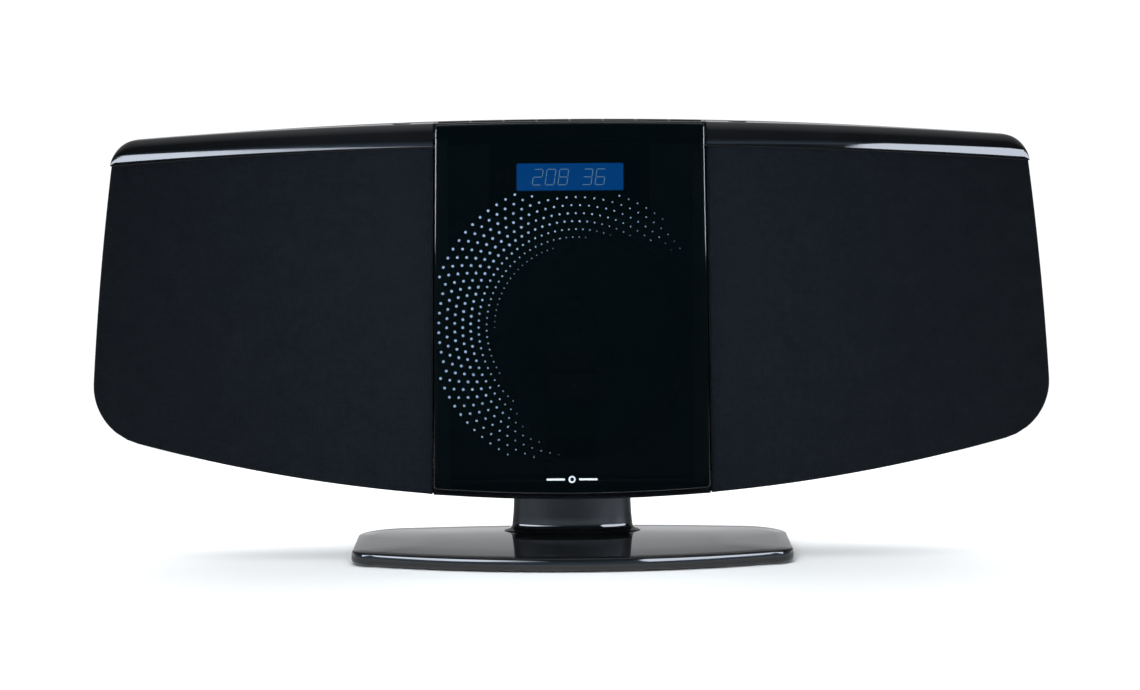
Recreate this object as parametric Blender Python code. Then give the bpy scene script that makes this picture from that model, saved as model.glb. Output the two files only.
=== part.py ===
"""Mini hifi system: a slim compact-disc stereo with two loudspeaker wings on a desk stand.

Metres, +Z up, the front faces -Y. The origin is on the desk, under the middle of the object's box.
Every fitted piece takes its size and place from the driving dimensions and the named clearances.
"""
import math

import bmesh
import bpy
import numpy as np
from mathutils import Matrix, Vector

for old in list(bpy.data.objects):
    bpy.data.objects.remove(old, do_unlink=True)

# ---------------------------------------------------------------- driving dimensions
GAP = 0.0003                    # between pieces that seat on each other
PLAY = 0.00008                  # radial running clearance of a shaft in its bearing

# Body outline, seen from the front
BODY_HALF_WIDTH = 0.2613
BODY_BOTTOM_Z = 0.0344          # lowest point of the body, on the centre line
BODY_HEIGHT = 0.2046            # from there to the top, on the centre line
TOP_ARC_R = 3.08
BOTTOM_ARC_R = 0.943
SIDE_ARC_R = 1.7
SIDE_TAPER = 0.0126             # the side leans in by this much ...
SIDE_TAPER_DROP = 0.0210        # ... at this depth below the top
UPPER_CORNER_R = 0.015
LOWER_CORNER_R = 0.032

# Body depth
WING_FRONT_Y = -0.0234          # front of the cloth on the centre line
WING_SWEEP = 0.0155             # how far the wing tips lie behind it
CABINET_BACK_Y = 0.008          # seam between the front cabinet and the rear cover
BODY_BACK_Y = 0.057
BACK_FLAT_HALF = 0.082          # the back is flat this far out, then sweeps forward
BACK_SWEEP = 0.033
REAR_EDGE_R = 0.006
WALL = 0.0025
BAFFLE_Y = -0.0005
BAFFLE_T = 0.0025

# Wings
SEAM_HALF_TOP = 0.0737          # inner edge of the wings at the top and at the bottom
SEAM_HALF_BOTTOM = 0.0761
CLOTH_T = 0.0012
GRILLE_FRAME_T = 0.0032
GRILLE_FRAME_RIM = 0.009
CAP_LOWER_Z_DROP = 0.0123       # cap height at the centre line
CAP_LOWER_ARC_R = 3.0
CAP_PROUD = 0.0012              # the caps stand in front of the cloth
CAP_OVERHANG = 0.0006           # and over the sides
CAP_SKIN = 0.003
CAP_LIP_T = 0.0045

# Top deck
KEY_COUNT = 8
KEY_PITCH = 0.0179
KEY_SPACE = 0.0005              # between neighbouring keys
KEY_DEPTH = 0.009
KEY_PROUD = 0.0008
KEY_HEIGHT = 0.0085
KEY_ROW_Y = -0.008
KEY_PLAY = 0.0003
SHOULDER_BUTTON_X = 0.091
SHOULDER_BUTTON_R = 0.005
SHOULDER_BUTTON_PROUD = 0.0005
BOARD_T = 0.0016

# Glass door
DOOR_T = 0.004
DOOR_CLEARANCE = 0.002          # between the back of the glass and the cloth
DOOR_HALF_TOP = 0.0723
DOOR_HALF_BOTTOM = 0.075
DOOR_CHIN = 0.0035              # body left bare below the glass
DOOR_BROW = 0.0001              # and above it
STRIP_W = 0.006
STRIP_T = 0.0027
ROD_R = 0.00125
PULLEY_R = 0.0042
PULLEY_H = 0.006
BELT_T = 0.0008

# Disc bay
FASCIA_Y = -0.020
FASCIA_T = 0.002
WELL_R = 0.0646                 # takes a 120 mm disc
WELL_DEPTH = 0.009
DISC_RISE = 0.0856              # disc centre above the bottom of the body
HUB_R = 0.017
SPIGOT_R = 0.0073               # enters the disc's 15 mm hole
SPINDLE_R = 0.0015
SPINDLE_MOTOR_R = 0.014
PICKUP_TRACK_IN = 0.025
PICKUP_TRAVEL = 0.033
PICKUP_HALF_W = 0.013
PICKUP_HALF_H = 0.007
SLED_X = 0.024
CHASSIS_T = 0.002

# Display
LCD_HALF_W = 0.02875
LCD_HALF_H = 0.0072
LCD_DROP = 0.0295               # its centre below the top of the body
BEZEL_HALF_W = 0.044
BEZEL_HALF_H = 0.0195
BEZEL_DROP = 0.0316
BEZEL_T = 0.0016
IR_HALF = 0.0028
IR_X = -0.036

# Loudspeakers
DRIVER_RISE = 0.098             # driver centre above the bottom of the body
FLANGE_R = 0.046
FLANGE_T = 0.0025
BASKET_R = 0.039
MAGNET_R = 0.027
DRIVER_DEPTH = 0.033
CONE_R = 0.030

# Stand
BASE_HALF_WIDTH = 0.1203
BASE_HALF_DEPTH = 0.0626
BASE_FRONT_ARC_R = 0.27
BASE_BACK_ARC_R = 0.55
BASE_FRONT_CORNER_R = 0.012
BASE_BACK_CORNER_R = 0.028
BASE_TOP_Z = 0.008
BASE_UNDER_Z = 0.001
BASE_SKIN = 0.003
BALLAST_T = 0.0021
FOOT_R = 0.008
FOOT_X = 0.090
FOOT_FRONT_Y = -0.028
FOOT_BACK_Y = 0.036
NECK_Y = 0.040
NECK_HALF_W = 0.0328
NECK_HALF_D = 0.0116
NECK_FLARE = 0.0065
TENON_HALF_W = 0.018
TENON_HALF_D = 0.0055
TENON_H = 0.010
NECK_BOLT_R = 0.003

# Fastening and sockets
SCREW_R = 0.0015
SCREW_HEAD_R = 0.0032
SCREW_HEAD_T = 0.0017
SCREW_LENGTH = 0.018
BOSS_R = 0.004
BOSS_GAP = 0.0015              # between the screw bosses and the back wall, which bows a little
SCREW_X = 0.0765
SCREW_INSET_Z = 0.028
SOCKET_HALF = 0.0055

# ---------------------------------------------------------------- places that follow from them
BODY_TOP_Z = BODY_BOTTOM_Z + BODY_HEIGHT
DISC_Z = BODY_BOTTOM_Z + DISC_RISE
DRIVER_Z = BODY_BOTTOM_Z + DRIVER_RISE
DRIVER_X = (SEAM_HALF_BOTTOM + BODY_HALF_WIDTH - 0.0074) / 2
LCD_Z = BODY_TOP_Z - LCD_DROP
BEZEL_Z = BODY_TOP_Z - BEZEL_DROP
WELL_FLOOR_Y = FASCIA_Y + WELL_DEPTH
CHASSIS_Y = WELL_FLOOR_Y + FASCIA_T + GAP
CHASSIS_BACK_Y = CHASSIS_Y + CHASSIS_T
DOOR_BACK_Y = WING_FRONT_Y - DOOR_CLEARANCE
STRIP_BACK_Y = DOOR_BACK_Y + GAP + STRIP_T
STRIP_OUTER_X = DOOR_HALF_TOP - GAP
FASCIA_TOP_Z = BODY_TOP_Z - CAP_LOWER_Z_DROP
ARM_TOP_Z = FASCIA_TOP_Z + 0.0034
ARM_T = 0.0024
LIP_BOTTOM_Z = ARM_TOP_Z + 0.0007
KEY_BOARD_TOP_Z = BODY_TOP_Z - 0.0121
ROD_Y = WING_FRONT_Y + 0.0094
BELT_FRONT_GAP = 0.0018              # from the guide rod to the pulleys
PULLEY_X = DOOR_HALF_BOTTOM
PULLEY_Y = ROD_Y + ROD_R + BELT_FRONT_GAP + PULLEY_R
PICKUP_Z = DISC_Z - PICKUP_TRACK_IN
SCREW_ZS = (BODY_BOTTOM_Z + SCREW_INSET_Z, BODY_TOP_Z - SCREW_INSET_Z)
SIDES = (("left", -1), ("right", 1))


# ---------------------------------------------------------------- materials
def make_material(name, colour, roughness, metallic=0.0):
    """A Principled material with the piece's colour, roughness and metallic value."""
    material = bpy.data.materials.new(name)
    material.use_nodes = True
    shader = material.node_tree.nodes["Principled BSDF"]
    shader.inputs["Base Color"].default_value = (*colour, 1.0)
    shader.inputs["Roughness"].default_value = roughness
    shader.inputs["Metallic"].default_value = metallic
    material.diffuse_color = (*colour, 1.0)
    return material


GLOSS_BLACK = make_material("gloss_black", (0.010, 0.010, 0.012), 0.08)
DARK_PLASTIC = make_material("dark_plastic", (0.018, 0.019, 0.022), 0.45)
WELL_BLUE = make_material("well_blue", (0.012, 0.018, 0.026), 0.35)
CLOTH_NAVY = make_material("cloth_navy", (0.014, 0.019, 0.028), 0.95)
SMOKED_GLASS = make_material("smoked_glass", (0.012, 0.020, 0.026), 0.04)
NECK_GREY = make_material("neck_grey", (0.050, 0.053, 0.060), 0.32, 0.6)
RUBBER_BLACK = make_material("rubber_black", (0.02, 0.02, 0.02), 0.85)
STEEL = make_material("steel", (0.55, 0.55, 0.56), 0.3, 1.0)
FERRITE = make_material("ferrite", (0.09, 0.09, 0.095), 0.5, 0.5)
CONE_PAPER = make_material("cone_paper", (0.03, 0.03, 0.035), 0.8)
BOARD_GREEN = make_material("board_green", (0.02, 0.12, 0.05), 0.5)
DISPLAY_BLUE = make_material("display_blue", (0.0, 0.03, 0.15), 0.2)
IR_RED = make_material("ir_red", (0.015, 0.003, 0.006), 0.1)


# ---------------------------------------------------------------- mesh helpers
def add_object(name, bm, material):
    """Turn a bmesh into a named object with one material, its faces pointing out."""
    bmesh.ops.recalc_face_normals(bm, faces=bm.faces)
    mesh = bpy.data.meshes.new(name)
    bm.to_mesh(mesh)
    bm.free()
    mesh.shade_smooth()
    mesh.set_sharp_from_angle(angle=math.radians(30))
    piece = bpy.data.objects.new(name, mesh)
    bpy.context.scene.collection.objects.link(piece)
    mesh.materials.append(material)
    return piece


def place_origin(piece, point):
    """Put a piece's origin on a point, for instance on its joint's axis, and leave its shape in place."""
    piece.data.transform(Matrix.Translation(-Vector(point)))
    piece.location = point


def add_box(bm, low, high):
    """A box between two corners."""
    centre = [(a + b) / 2 for a, b in zip(low, high)]
    size = [b - a for a, b in zip(low, high)]
    matrix = Matrix.Translation(centre) @ Matrix.Diagonal((*size, 1.0))
    bmesh.ops.create_cube(bm, size=1.0, matrix=matrix)


def box_object(name, low, high, material):
    bm = bmesh.new()
    add_box(bm, low, high)
    return add_object(name, bm, material)


def add_loft(bm, rings):
    """Skin closed rings of paired points. A ring is a list of (bottom point, top point), left to right.

    The first and last ring are closed by strips between their bottom and top points.
    """
    loops = []
    for ring in rings:
        tops = [bm.verts.new(top) for _, top in ring]
        bottoms = [bm.verts.new(bottom) for bottom, _ in ring]
        loops.append(tops + bottoms[::-1])
    count = len(loops[0])
    for near, far in zip(loops, loops[1:]):
        for i in range(count):
            j = (i + 1) % count
            bm.faces.new((near[i], near[j], far[j], far[i]))
    for end in (loops[0], loops[-1]):
        for i in range(count // 2 - 1):
            bm.faces.new((end[i], end[i + 1], end[count - 2 - i], end[count - 1 - i]))


def loft_object(name, rings, material):
    bm = bmesh.new()
    add_loft(bm, rings)
    return add_object(name, bm, material)


AXIS_FRAMES = {"X": ((0, 1, 0), (0, 0, 1), (1, 0, 0)),
               "Y": ((1, 0, 0), (0, 0, 1), (0, 1, 0)),
               "Z": ((1, 0, 0), (0, 1, 0), (0, 0, 1))}


def turned_object(name, profile, axis, centre, material, sides=28):
    """Revolve a closed profile of (radius, height along the axis) about an axis through a centre.

    A profile that begins and ends on the axis gets flat ends or points there.
    """
    across, up, along = (Vector(v) for v in AXIS_FRAMES[axis])
    bm = bmesh.new()
    angles = [2 * math.pi * k / sides for k in range(sides)]
    rings = []
    for radius, height in profile:
        base = Vector(centre) + along * height
        if radius > 0:
            rings.append([bm.verts.new(base + (across * math.cos(a) + up * math.sin(a)) * radius)
                          for a in angles])
    for near, far in zip(rings, rings[1:]):
        for k in range(sides):
            n = (k + 1) % sides
            bm.faces.new((near[k], near[n], far[n], far[k]))
    if profile[0][0] > 0:
        for k in range(sides):
            n = (k + 1) % sides
            bm.faces.new((rings[-1][k], rings[-1][n], rings[0][n], rings[0][k]))
    else:
        close_end(bm, rings[0], Vector(centre) + along * profile[0][1], profile[0][1] == profile[1][1])
        close_end(bm, rings[-1], Vector(centre) + along * profile[-1][1], profile[-1][1] == profile[-2][1])
    return add_object(name, bm, material)


def close_end(bm, ring, tip, is_flat):
    """Close a ring with one flat face, or with a fan to a tip."""
    if is_flat:
        bm.faces.new(ring)
        return
    tip_vert = bm.verts.new(tip)
    for k in range(len(ring)):
        bm.faces.new((ring[k], ring[(k + 1) % len(ring)], tip_vert))


def rod_profile(radius, length):
    """The half outline of a plain cylinder."""
    return [(0, 0), (radius, 0), (radius, length), (0, length)]


def hide_tool(tool):
    tool.hide_render = True
    tool.display_type = "WIRE"


def combine(target, tool, operation):
    """Boolean a tool into a target, and keep the tool out of the model."""
    modifier = target.modifiers.new(tool.name, "BOOLEAN")
    modifier.operation = operation
    modifier.solver = "EXACT"
    modifier.object = tool
    hide_tool(tool)


def cut(target, tool):
    combine(target, tool, "DIFFERENCE")


def join(target, tool):
    combine(target, tool, "UNION")


def cut_hole(target, axis, centre, radius, length, sides=20):
    """Drill a round hole from a point, along an axis."""
    name = f"{target.name}_hole_{len(target.modifiers)}"
    cut(target, turned_object(name, rod_profile(radius, length), axis, centre, STEEL, sides))


def cut_box(target, low, high):
    cut(target, box_object(f"{target.name}_cut_{len(target.modifiers)}", low, high, STEEL))


def join_box(target, low, high):
    join(target, box_object(f"{target.name}_add_{len(target.modifiers)}", low, high, STEEL))


def join_rod(target, axis, centre, radius, length, sides=16):
    name = f"{target.name}_add_{len(target.modifiers)}"
    join(target, turned_object(name, rod_profile(radius, length), axis, centre, STEEL, sides))


# ---------------------------------------------------------------- the body's outline
def circles_meet(centre_a, radius_a, centre_b, radius_b, upper_right):
    """One of the two points where two circles in the front view cross."""
    ax, az = centre_a
    bx, bz = centre_b
    span = math.hypot(bx - ax, bz - az)
    along = (radius_a ** 2 - radius_b ** 2 + span ** 2) / (2 * span)
    offset = math.sqrt(max(radius_a ** 2 - along ** 2, 0))
    ux, uz = (bx - ax) / span, (bz - az) / span
    points = [(ax + ux * along + s * uz * offset, az + uz * along - s * ux * offset) for s in (1, -1)]
    return max(points, key=lambda p: p[0] * upper_right[0] + p[1] * upper_right[1])


def direction(start, end):
    """Angle of the line from one point to another."""
    return math.atan2(end[1] - start[1], end[0] - start[0])


TOP_CENTRE = (0.0, BODY_TOP_Z - TOP_ARC_R)
BOTTOM_CENTRE = (0.0, BODY_BOTTOM_Z + BOTTOM_ARC_R)
LOWER_CENTRE = (BODY_HALF_WIDTH - LOWER_CORNER_R,
                BOTTOM_CENTRE[1] - math.sqrt((BOTTOM_ARC_R - LOWER_CORNER_R) ** 2
                                             - (BODY_HALF_WIDTH - LOWER_CORNER_R) ** 2))
SIDE_POINT = (BODY_HALF_WIDTH - SIDE_TAPER, BODY_TOP_Z - SIDE_TAPER_DROP)
SIDE_CENTRE = circles_meet(LOWER_CENTRE, SIDE_ARC_R - LOWER_CORNER_R, SIDE_POINT, SIDE_ARC_R, (-1, 0))
UPPER_CENTRE = circles_meet(TOP_CENTRE, TOP_ARC_R - UPPER_CORNER_R,
                            SIDE_CENTRE, SIDE_ARC_R - UPPER_CORNER_R, (1, 1))
ARC_POINTS = 24


class Outline:
    """The right half of the body's front outline, moved inwards by an inset."""

    def __init__(self, inset):
        def arc(centre, radius, start, end):
            angles = np.linspace(start, end, ARC_POINTS)
            return [(centre[0] + (radius - inset) * math.cos(a), centre[1] + (radius - inset) * math.sin(a))
                    for a in angles]

        top_end = direction(TOP_CENTRE, UPPER_CENTRE)
        side_start = direction(SIDE_CENTRE, UPPER_CENTRE)
        side_end = direction(SIDE_CENTRE, LOWER_CENTRE)
        bottom_end = direction(BOTTOM_CENTRE, LOWER_CENTRE)
        upper = arc(TOP_CENTRE, TOP_ARC_R, math.pi / 2, top_end)
        upper += arc(UPPER_CENTRE, UPPER_CORNER_R, top_end, side_start)
        upper += arc(SIDE_CENTRE, SIDE_ARC_R, side_start, side_end)
        upper += arc(LOWER_CENTRE, LOWER_CORNER_R, side_end, 0.0)
        lower = arc(BOTTOM_CENTRE, BOTTOM_ARC_R, -math.pi / 2, bottom_end)
        lower += arc(LOWER_CENTRE, LOWER_CORNER_R, bottom_end, 0.0)
        self.upper = np.array(upper).T
        self.lower = np.array(lower).T
        self.half_width = BODY_HALF_WIDTH - inset

    def top(self, x):
        return float(np.interp(abs(x), self.upper[0], self.upper[1]))

    def bottom(self, x):
        return float(np.interp(abs(x), self.lower[0], self.lower[1]))


BODY = Outline(0.0)
CAP_OUTLINE = Outline(-CAP_OVERHANG)
CAP_INNER = Outline(CAP_SKIN)
SHAFT_Z = BODY.bottom(PULLEY_X + PULLEY_R) + WALL + 0.0006 + PULLEY_H / 2   # guide rod and belt
FASCIA_BOTTOM_Z = SHAFT_Z + 0.0038
EDGE_STEP = 0.0001              # the outermost station stops this short of the outline's widest point


def wing_y(x):
    """Front of the cloth: the wings sweep back towards their tips."""
    return WING_FRONT_Y + WING_SWEEP * (x / BODY_HALF_WIDTH) ** 2


def back_y(x):
    """Back of the rear cover: flat in the middle, swept forward at the sides."""
    reach = max(0.0, abs(x) - BACK_FLAT_HALF) / (BODY_HALF_WIDTH - BACK_FLAT_HALF)
    return BODY_BACK_Y - BACK_SWEEP * reach ** 1.6


def seam_x(z):
    """Inner edge of a wing, which leans like the side of the door."""
    share = (BODY_TOP_Z - z) / BODY_HEIGHT
    return SEAM_HALF_TOP + (SEAM_HALF_BOTTOM - SEAM_HALF_TOP) * share


def cap_lower_z(x):
    return BODY_TOP_Z - CAP_LOWER_Z_DROP - x * x / (2 * CAP_LOWER_ARC_R)


def cap_plate_z(x):
    """Underside of the cap's top plate."""
    return max(cap_lower_z(x) + 0.0005, CAP_INNER.top(x))


def cap_end_x():
    """Where the cap's lower edge meets the outline at the wing tip."""
    inner, outer = 0.8 * BODY_HALF_WIDTH, CAP_OUTLINE.half_width
    for _ in range(40):
        middle = (inner + outer) / 2
        if CAP_OUTLINE.top(middle) > cap_lower_z(middle):
            inner = middle
        else:
            outer = middle
    return inner


def stations(start, end, count):
    """Places along X that crowd towards the end, where the outline turns."""
    return [start + (end - start) * math.sin(math.pi / 2 * k / (count - 1)) for k in range(count)]


def cap_stations():
    """Places along a wing's top cap, from its inner end to its tip."""
    return stations(SEAM_HALF_TOP, cap_end_x() - 4 * EDGE_STEP, 13)


def wing_stations(start, outline):
    """Even steps along a wing to the end of the cap, then steps that crowd towards the tip."""
    turn = cap_end_x()
    inner = [start + (turn - start) * k / 7 for k in range(7)]
    return inner + stations(turn, outline.half_width - EDGE_STEP, 7)


def both_sides(half):
    """A symmetric list of stations from the right half's, which starts at 0."""
    return [-x for x in half[:0:-1]] + half


def full_ring(outline, y_of):
    """The whole outline as one ring, each point at a depth that depends on its x.

    The same steps along the arcs are taken at every inset, so that rings of two insets stay parallel.
    """
    last = ARC_POINTS - 1
    steps = [0.0, 0.25, 0.5, 0.75, 1.0]
    upper = [round(last * s) for s in steps]
    upper += [ARC_POINTS + round(last * s) for s in (0.33, 0.67, 1.0)]
    upper += [2 * ARC_POINTS + round(last * s) for s in (0.25, 0.5, 0.75, 1.0)]
    lower = [round(last * s) for s in steps]
    lower += [ARC_POINTS + round(last * s) for s in (0.14, 0.28, 0.42, 0.56, 0.7, 0.85, 1.0)]
    half = []
    for u, w in zip(upper, lower):
        (ux, uz), (wx, wz) = outline.upper[:, u], outline.lower[:, w]
        half.append(((float(wx), y_of(wx), float(wz)), (float(ux), y_of(ux), float(uz))))
    mirrored = [tuple((-x, y, z) for x, y, z in pair) for pair in half[:0:-1]]
    return mirrored + half


def wing_ring(side, inset, offset, rim=0.0):
    """A wing's cloth area as one ring, moved in by an inset and back by an offset."""
    outline = Outline(inset)
    ring = []
    for k, x in enumerate(wing_stations(SEAM_HALF_TOP + rim, outline)):
        low = outline.bottom(x)
        high = min(outline.top(x), cap_lower_z(x) - GAP - rim)
        low_x = seam_x(low) + rim if k == 0 else x
        ring.append(((side * low_x, wing_y(low_x) + offset, low), (side * x, wing_y(x) + offset, high)))
    return ring


# ---------------------------------------------------------------- stand
def base_edge(x, inset, arc_r, corner_r):
    """Half depth of the base at x: a shallow arc with a rounded corner at the end."""
    half = BASE_HALF_WIDTH - inset
    corner_x = half - corner_r
    reach = min(abs(x), corner_x)
    edge = BASE_HALF_DEPTH - inset - (arc_r - math.sqrt(arc_r ** 2 - reach ** 2))
    past = max(0.0, abs(x) - corner_x)
    return edge - (corner_r - math.sqrt(max(corner_r ** 2 - past ** 2, 0.0)))


def base_ring(inset, z, count=14):
    half = stations(0.0, BASE_HALF_WIDTH - inset - EDGE_STEP, count)
    return [((x, -base_edge(x, inset, BASE_FRONT_ARC_R, BASE_FRONT_CORNER_R), z),
             (x, base_edge(x, inset, BASE_BACK_ARC_R, BASE_BACK_CORNER_R), z)) for x in both_sides(half)]


def oval_ring(half_w, half_d, z, count=15):
    """A flattened oval, squarer than an ellipse, around the neck's axis."""
    ring = []
    for k in range(count):
        angle = math.pi * (k + 0.25) / (count - 0.5)
        x = -half_w * math.cos(angle)
        depth = half_d * math.sin(angle) ** 0.7
        ring.append(((x, NECK_Y - depth, z), (x, NECK_Y + depth, z)))
    return ring


def make_base():
    rounding = ((0.0012, BASE_UNDER_Z), (0.0, 0.0022), (0.0, 0.0052), (0.0011, 0.0071), (0.0034, BASE_TOP_Z))
    outer = [base_ring(inset, z) for inset, z in reversed(rounding)]
    inner = [base_ring(BASE_SKIN + 0.001, z) for z in (BASE_UNDER_Z, BASE_TOP_Z - BASE_SKIN)]
    shell = loft_object("base_shell", outer + inner, GLOSS_BLACK)
    cut_hole(shell, "Z", (0, NECK_Y, BASE_UNDER_Z), NECK_BOLT_R + GAP, BASE_TOP_Z)

    plate_top = BASE_TOP_Z - BASE_SKIN - GAP
    inset = BASE_SKIN + 0.001 + GAP
    plate = loft_object("base_ballast_plate",
                        [base_ring(inset, plate_top - BALLAST_T), base_ring(inset, plate_top)], STEEL)
    cut_hole(plate, "Z", (0, NECK_Y, 0), NECK_BOLT_R + GAP, BASE_TOP_Z)

    foot_top = plate_top - BALLAST_T - GAP
    foot_profile = [(0, 0), (FOOT_R - 0.0006, 0), (FOOT_R, 0.0006), (FOOT_R, foot_top), (0, foot_top)]
    places = [(side * FOOT_X, y) for y in (FOOT_FRONT_Y, FOOT_BACK_Y) for side in (-1, 1)]
    for k, (x, y) in enumerate(places):
        turned_object(f"rubber_foot_{k + 1}", foot_profile, "Z", (x, y, 0), RUBBER_BLACK, 20)


def make_neck():
    top_z = BODY_BOTTOM_Z - GAP
    start_z = BASE_TOP_Z + GAP
    flare = ((0.0, 1.0), (0.0012, 0.62), (0.0034, 0.25), (0.0070, 0.06), (0.0180, 0.0))
    rings = []
    for rise, share in flare:
        spread = NECK_FLARE * share
        rings.append(oval_ring(NECK_HALF_W + spread, NECK_HALF_D + 0.5 * spread, start_z + rise))
    rings.append(oval_ring(NECK_HALF_W, NECK_HALF_D, top_z))
    rings.append(oval_ring(TENON_HALF_W, TENON_HALF_D, top_z))
    rings.append(oval_ring(TENON_HALF_W, TENON_HALF_D, top_z + TENON_H))
    neck = loft_object("stand_neck", rings, NECK_GREY)
    bolt_z = BASE_TOP_Z - BASE_SKIN - 2 * GAP - BALLAST_T
    shank_end = start_z + 0.014
    cut_hole(neck, "Z", (0, NECK_Y, 0), NECK_BOLT_R + GAP, shank_end + 0.001)
    head_t = 0.0014
    bolt = [(0, -head_t), (2 * NECK_BOLT_R, -head_t), (2 * NECK_BOLT_R, 0), (NECK_BOLT_R, 0),
            (NECK_BOLT_R, shank_end - bolt_z), (0, shank_end - bolt_z)]
    turned_object("neck_bolt", bolt, "Z", (0, NECK_Y, bolt_z), STEEL, 20)


# ---------------------------------------------------------------- casings
def make_rear_cover():
    def outer_y(fall):
        return lambda x: back_y(x) - fall

    shares = ((1.0, 0.0), (0.45, 0.15), (0.1, 0.6), (0.0, 1.2))
    rounding = [(REAR_EDGE_R * inset, REAR_EDGE_R * fall) for inset, fall in shares]
    seam_y = CABINET_BACK_Y + GAP
    outer = [full_ring(Outline(inset), outer_y(fall)) for inset, fall in rounding]
    outer.append(full_ring(Outline(0.0), lambda x: seam_y))
    inner = [full_ring(Outline(WALL), lambda x: seam_y),
             full_ring(Outline(WALL), outer_y(1.2 * REAR_EDGE_R + WALL)),
             full_ring(Outline(WALL + REAR_EDGE_R), outer_y(WALL))]
    cover = loft_object("rear_cover", outer + inner, DARK_PLASTIC)

    tenon = loft_object("rear_cover_tenon_hole",
                        [oval_ring(TENON_HALF_W + GAP, TENON_HALF_D + GAP, BODY_BOTTOM_Z - WALL),
                         oval_ring(TENON_HALF_W + GAP, TENON_HALF_D + GAP, BODY_BOTTOM_Z + 2 * WALL)], STEEL)
    cut(cover, tenon)
    for z in SCREW_ZS:
        for side in (-1, 1):
            cut_hole(cover, "Y", (side * SCREW_X, BODY_BACK_Y - 2 * WALL, z), SCREW_R + GAP, 4 * WALL, 12)
    for x, z in socket_places():
        reach = SOCKET_HALF + GAP
        cut_box(cover, (x - reach, BODY_BACK_Y - 2 * WALL, z - reach),
                (x + reach, BODY_BACK_Y + WALL, z + reach))
    post_y = BOARD_BACK_Y + GAP
    for x, z in board_post_places():
        join_rod(cover, "Y", (x, post_y, z), BOSS_R, BODY_BACK_Y - 0.5 * WALL - post_y)


def cabinet_top(x):
    """The cabinet's upper edge: under the caps, and flush with the side past them."""
    return min(BODY.top(x), cap_plate_z(x) - GAP)


def make_front_cabinet():
    front_gap = CLOTH_T + GRILLE_FRAME_T + 3 * GAP

    def cabinet_ring(y_of_bottom, y_of_top, inset):
        outline = Outline(inset)
        half = [0.0, SEAM_HALF_BOTTOM / 2, SEAM_HALF_BOTTOM - 4 * GAP, SEAM_HALF_BOTTOM - GAP]
        half += [x for x in cap_stations() if x > half[-1]]
        half += stations(cap_end_x(), outline.half_width - EDGE_STEP, 7)
        ring = []
        for x in both_sides(half):
            low, high = outline.bottom(x), min(outline.top(x), cabinet_top(x) - inset)
            ring.append(((x, y_of_bottom(x), low), (x, y_of_top(x), high)))
        return ring

    def front(x):
        return wing_y(x) + front_gap

    def chin(x):
        return WING_FRONT_Y if abs(x) < SEAM_HALF_BOTTOM - 2 * GAP else front(x)

    def seam(x):
        return CABINET_BACK_Y

    cabinet = loft_object("front_cabinet", [cabinet_ring(chin, front, 0.0), cabinet_ring(seam, seam, 0.0)],
                          DARK_PLASTIC)

    def well_before(x):
        return WING_FRONT_Y - WALL

    for tag, y_from, y_to in (("front", well_before, lambda x: BAFFLE_Y),
                              ("rear", lambda x: BAFFLE_Y + BAFFLE_T, lambda x: CABINET_BACK_Y + WALL)):
        hollow = loft_object(f"front_cabinet_{tag}_hollow",
                             [cabinet_ring(y_from, y_from, WALL), cabinet_ring(y_to, y_to, WALL)], STEEL)
        cut(cabinet, hollow)

    baffle_span = (BAFFLE_Y - WALL, BAFFLE_Y + 2 * BAFFLE_T)
    bay_half = WELL_R + 0.0018
    cut_box(cabinet, (-bay_half, baffle_span[0], FASCIA_BOTTOM_Z + 0.001),
            (bay_half, baffle_span[1], FASCIA_TOP_Z - 0.001))
    for _, side in SIDES:
        cut_hole(cabinet, "Y", (side * DRIVER_X, baffle_span[0], DRIVER_Z), BASKET_R + GAP,
                 baffle_span[1] - baffle_span[0], 28)
        cut_hole(cabinet, "Z", (side * SHOULDER_BUTTON_X, KEY_ROW_Y, BODY_TOP_Z - 0.010),
                 SHOULDER_BUTTON_R + 2 * KEY_PLAY, 0.02)
        bracket_x = (PULLEY_X + PULLEY_R + 0.003, PULLEY_X + PULLEY_R + 0.0065)
        low_x, high_x = sorted(side * x for x in bracket_x)
        join_box(cabinet, (low_x, ROD_Y - 0.002, BODY.bottom(bracket_x[0]) + 0.3 * WALL),
                 (high_x, BAFFLE_Y + 0.5 * BAFFLE_T, SHAFT_Z + 0.0035))
        for z in SCREW_ZS:
            join_rod(cabinet, "Y", (side * SCREW_X, BAFFLE_Y + 0.5 * BAFFLE_T, z), BOSS_R,
                     BODY_BACK_Y - WALL - BOSS_GAP - BAFFLE_Y - 0.5 * BAFFLE_T)
    rod_reach = PULLEY_X + PULLEY_R + 0.012
    cut_hole(cabinet, "X", (-rod_reach, ROD_Y, SHAFT_Z), ROD_R + PLAY, 2 * rod_reach, 16)
    for _, side in SIDES:
        for z in SCREW_ZS:
            cut_hole(cabinet, "Y", (side * SCREW_X, BODY_BACK_Y - SCREW_LENGTH - 0.001, z), SCREW_R + GAP,
                     SCREW_LENGTH, 12)
    half_row = KEY_COUNT * KEY_PITCH / 2 + 2 * KEY_PLAY
    cut_box(cabinet, (-half_row, KEY_ROW_Y - KEY_DEPTH / 2 - 2 * KEY_PLAY, BODY_TOP_Z - 0.010),
            (half_row, KEY_ROW_Y + KEY_DEPTH / 2 + 2 * KEY_PLAY, BODY_TOP_Z + 0.002))


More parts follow.
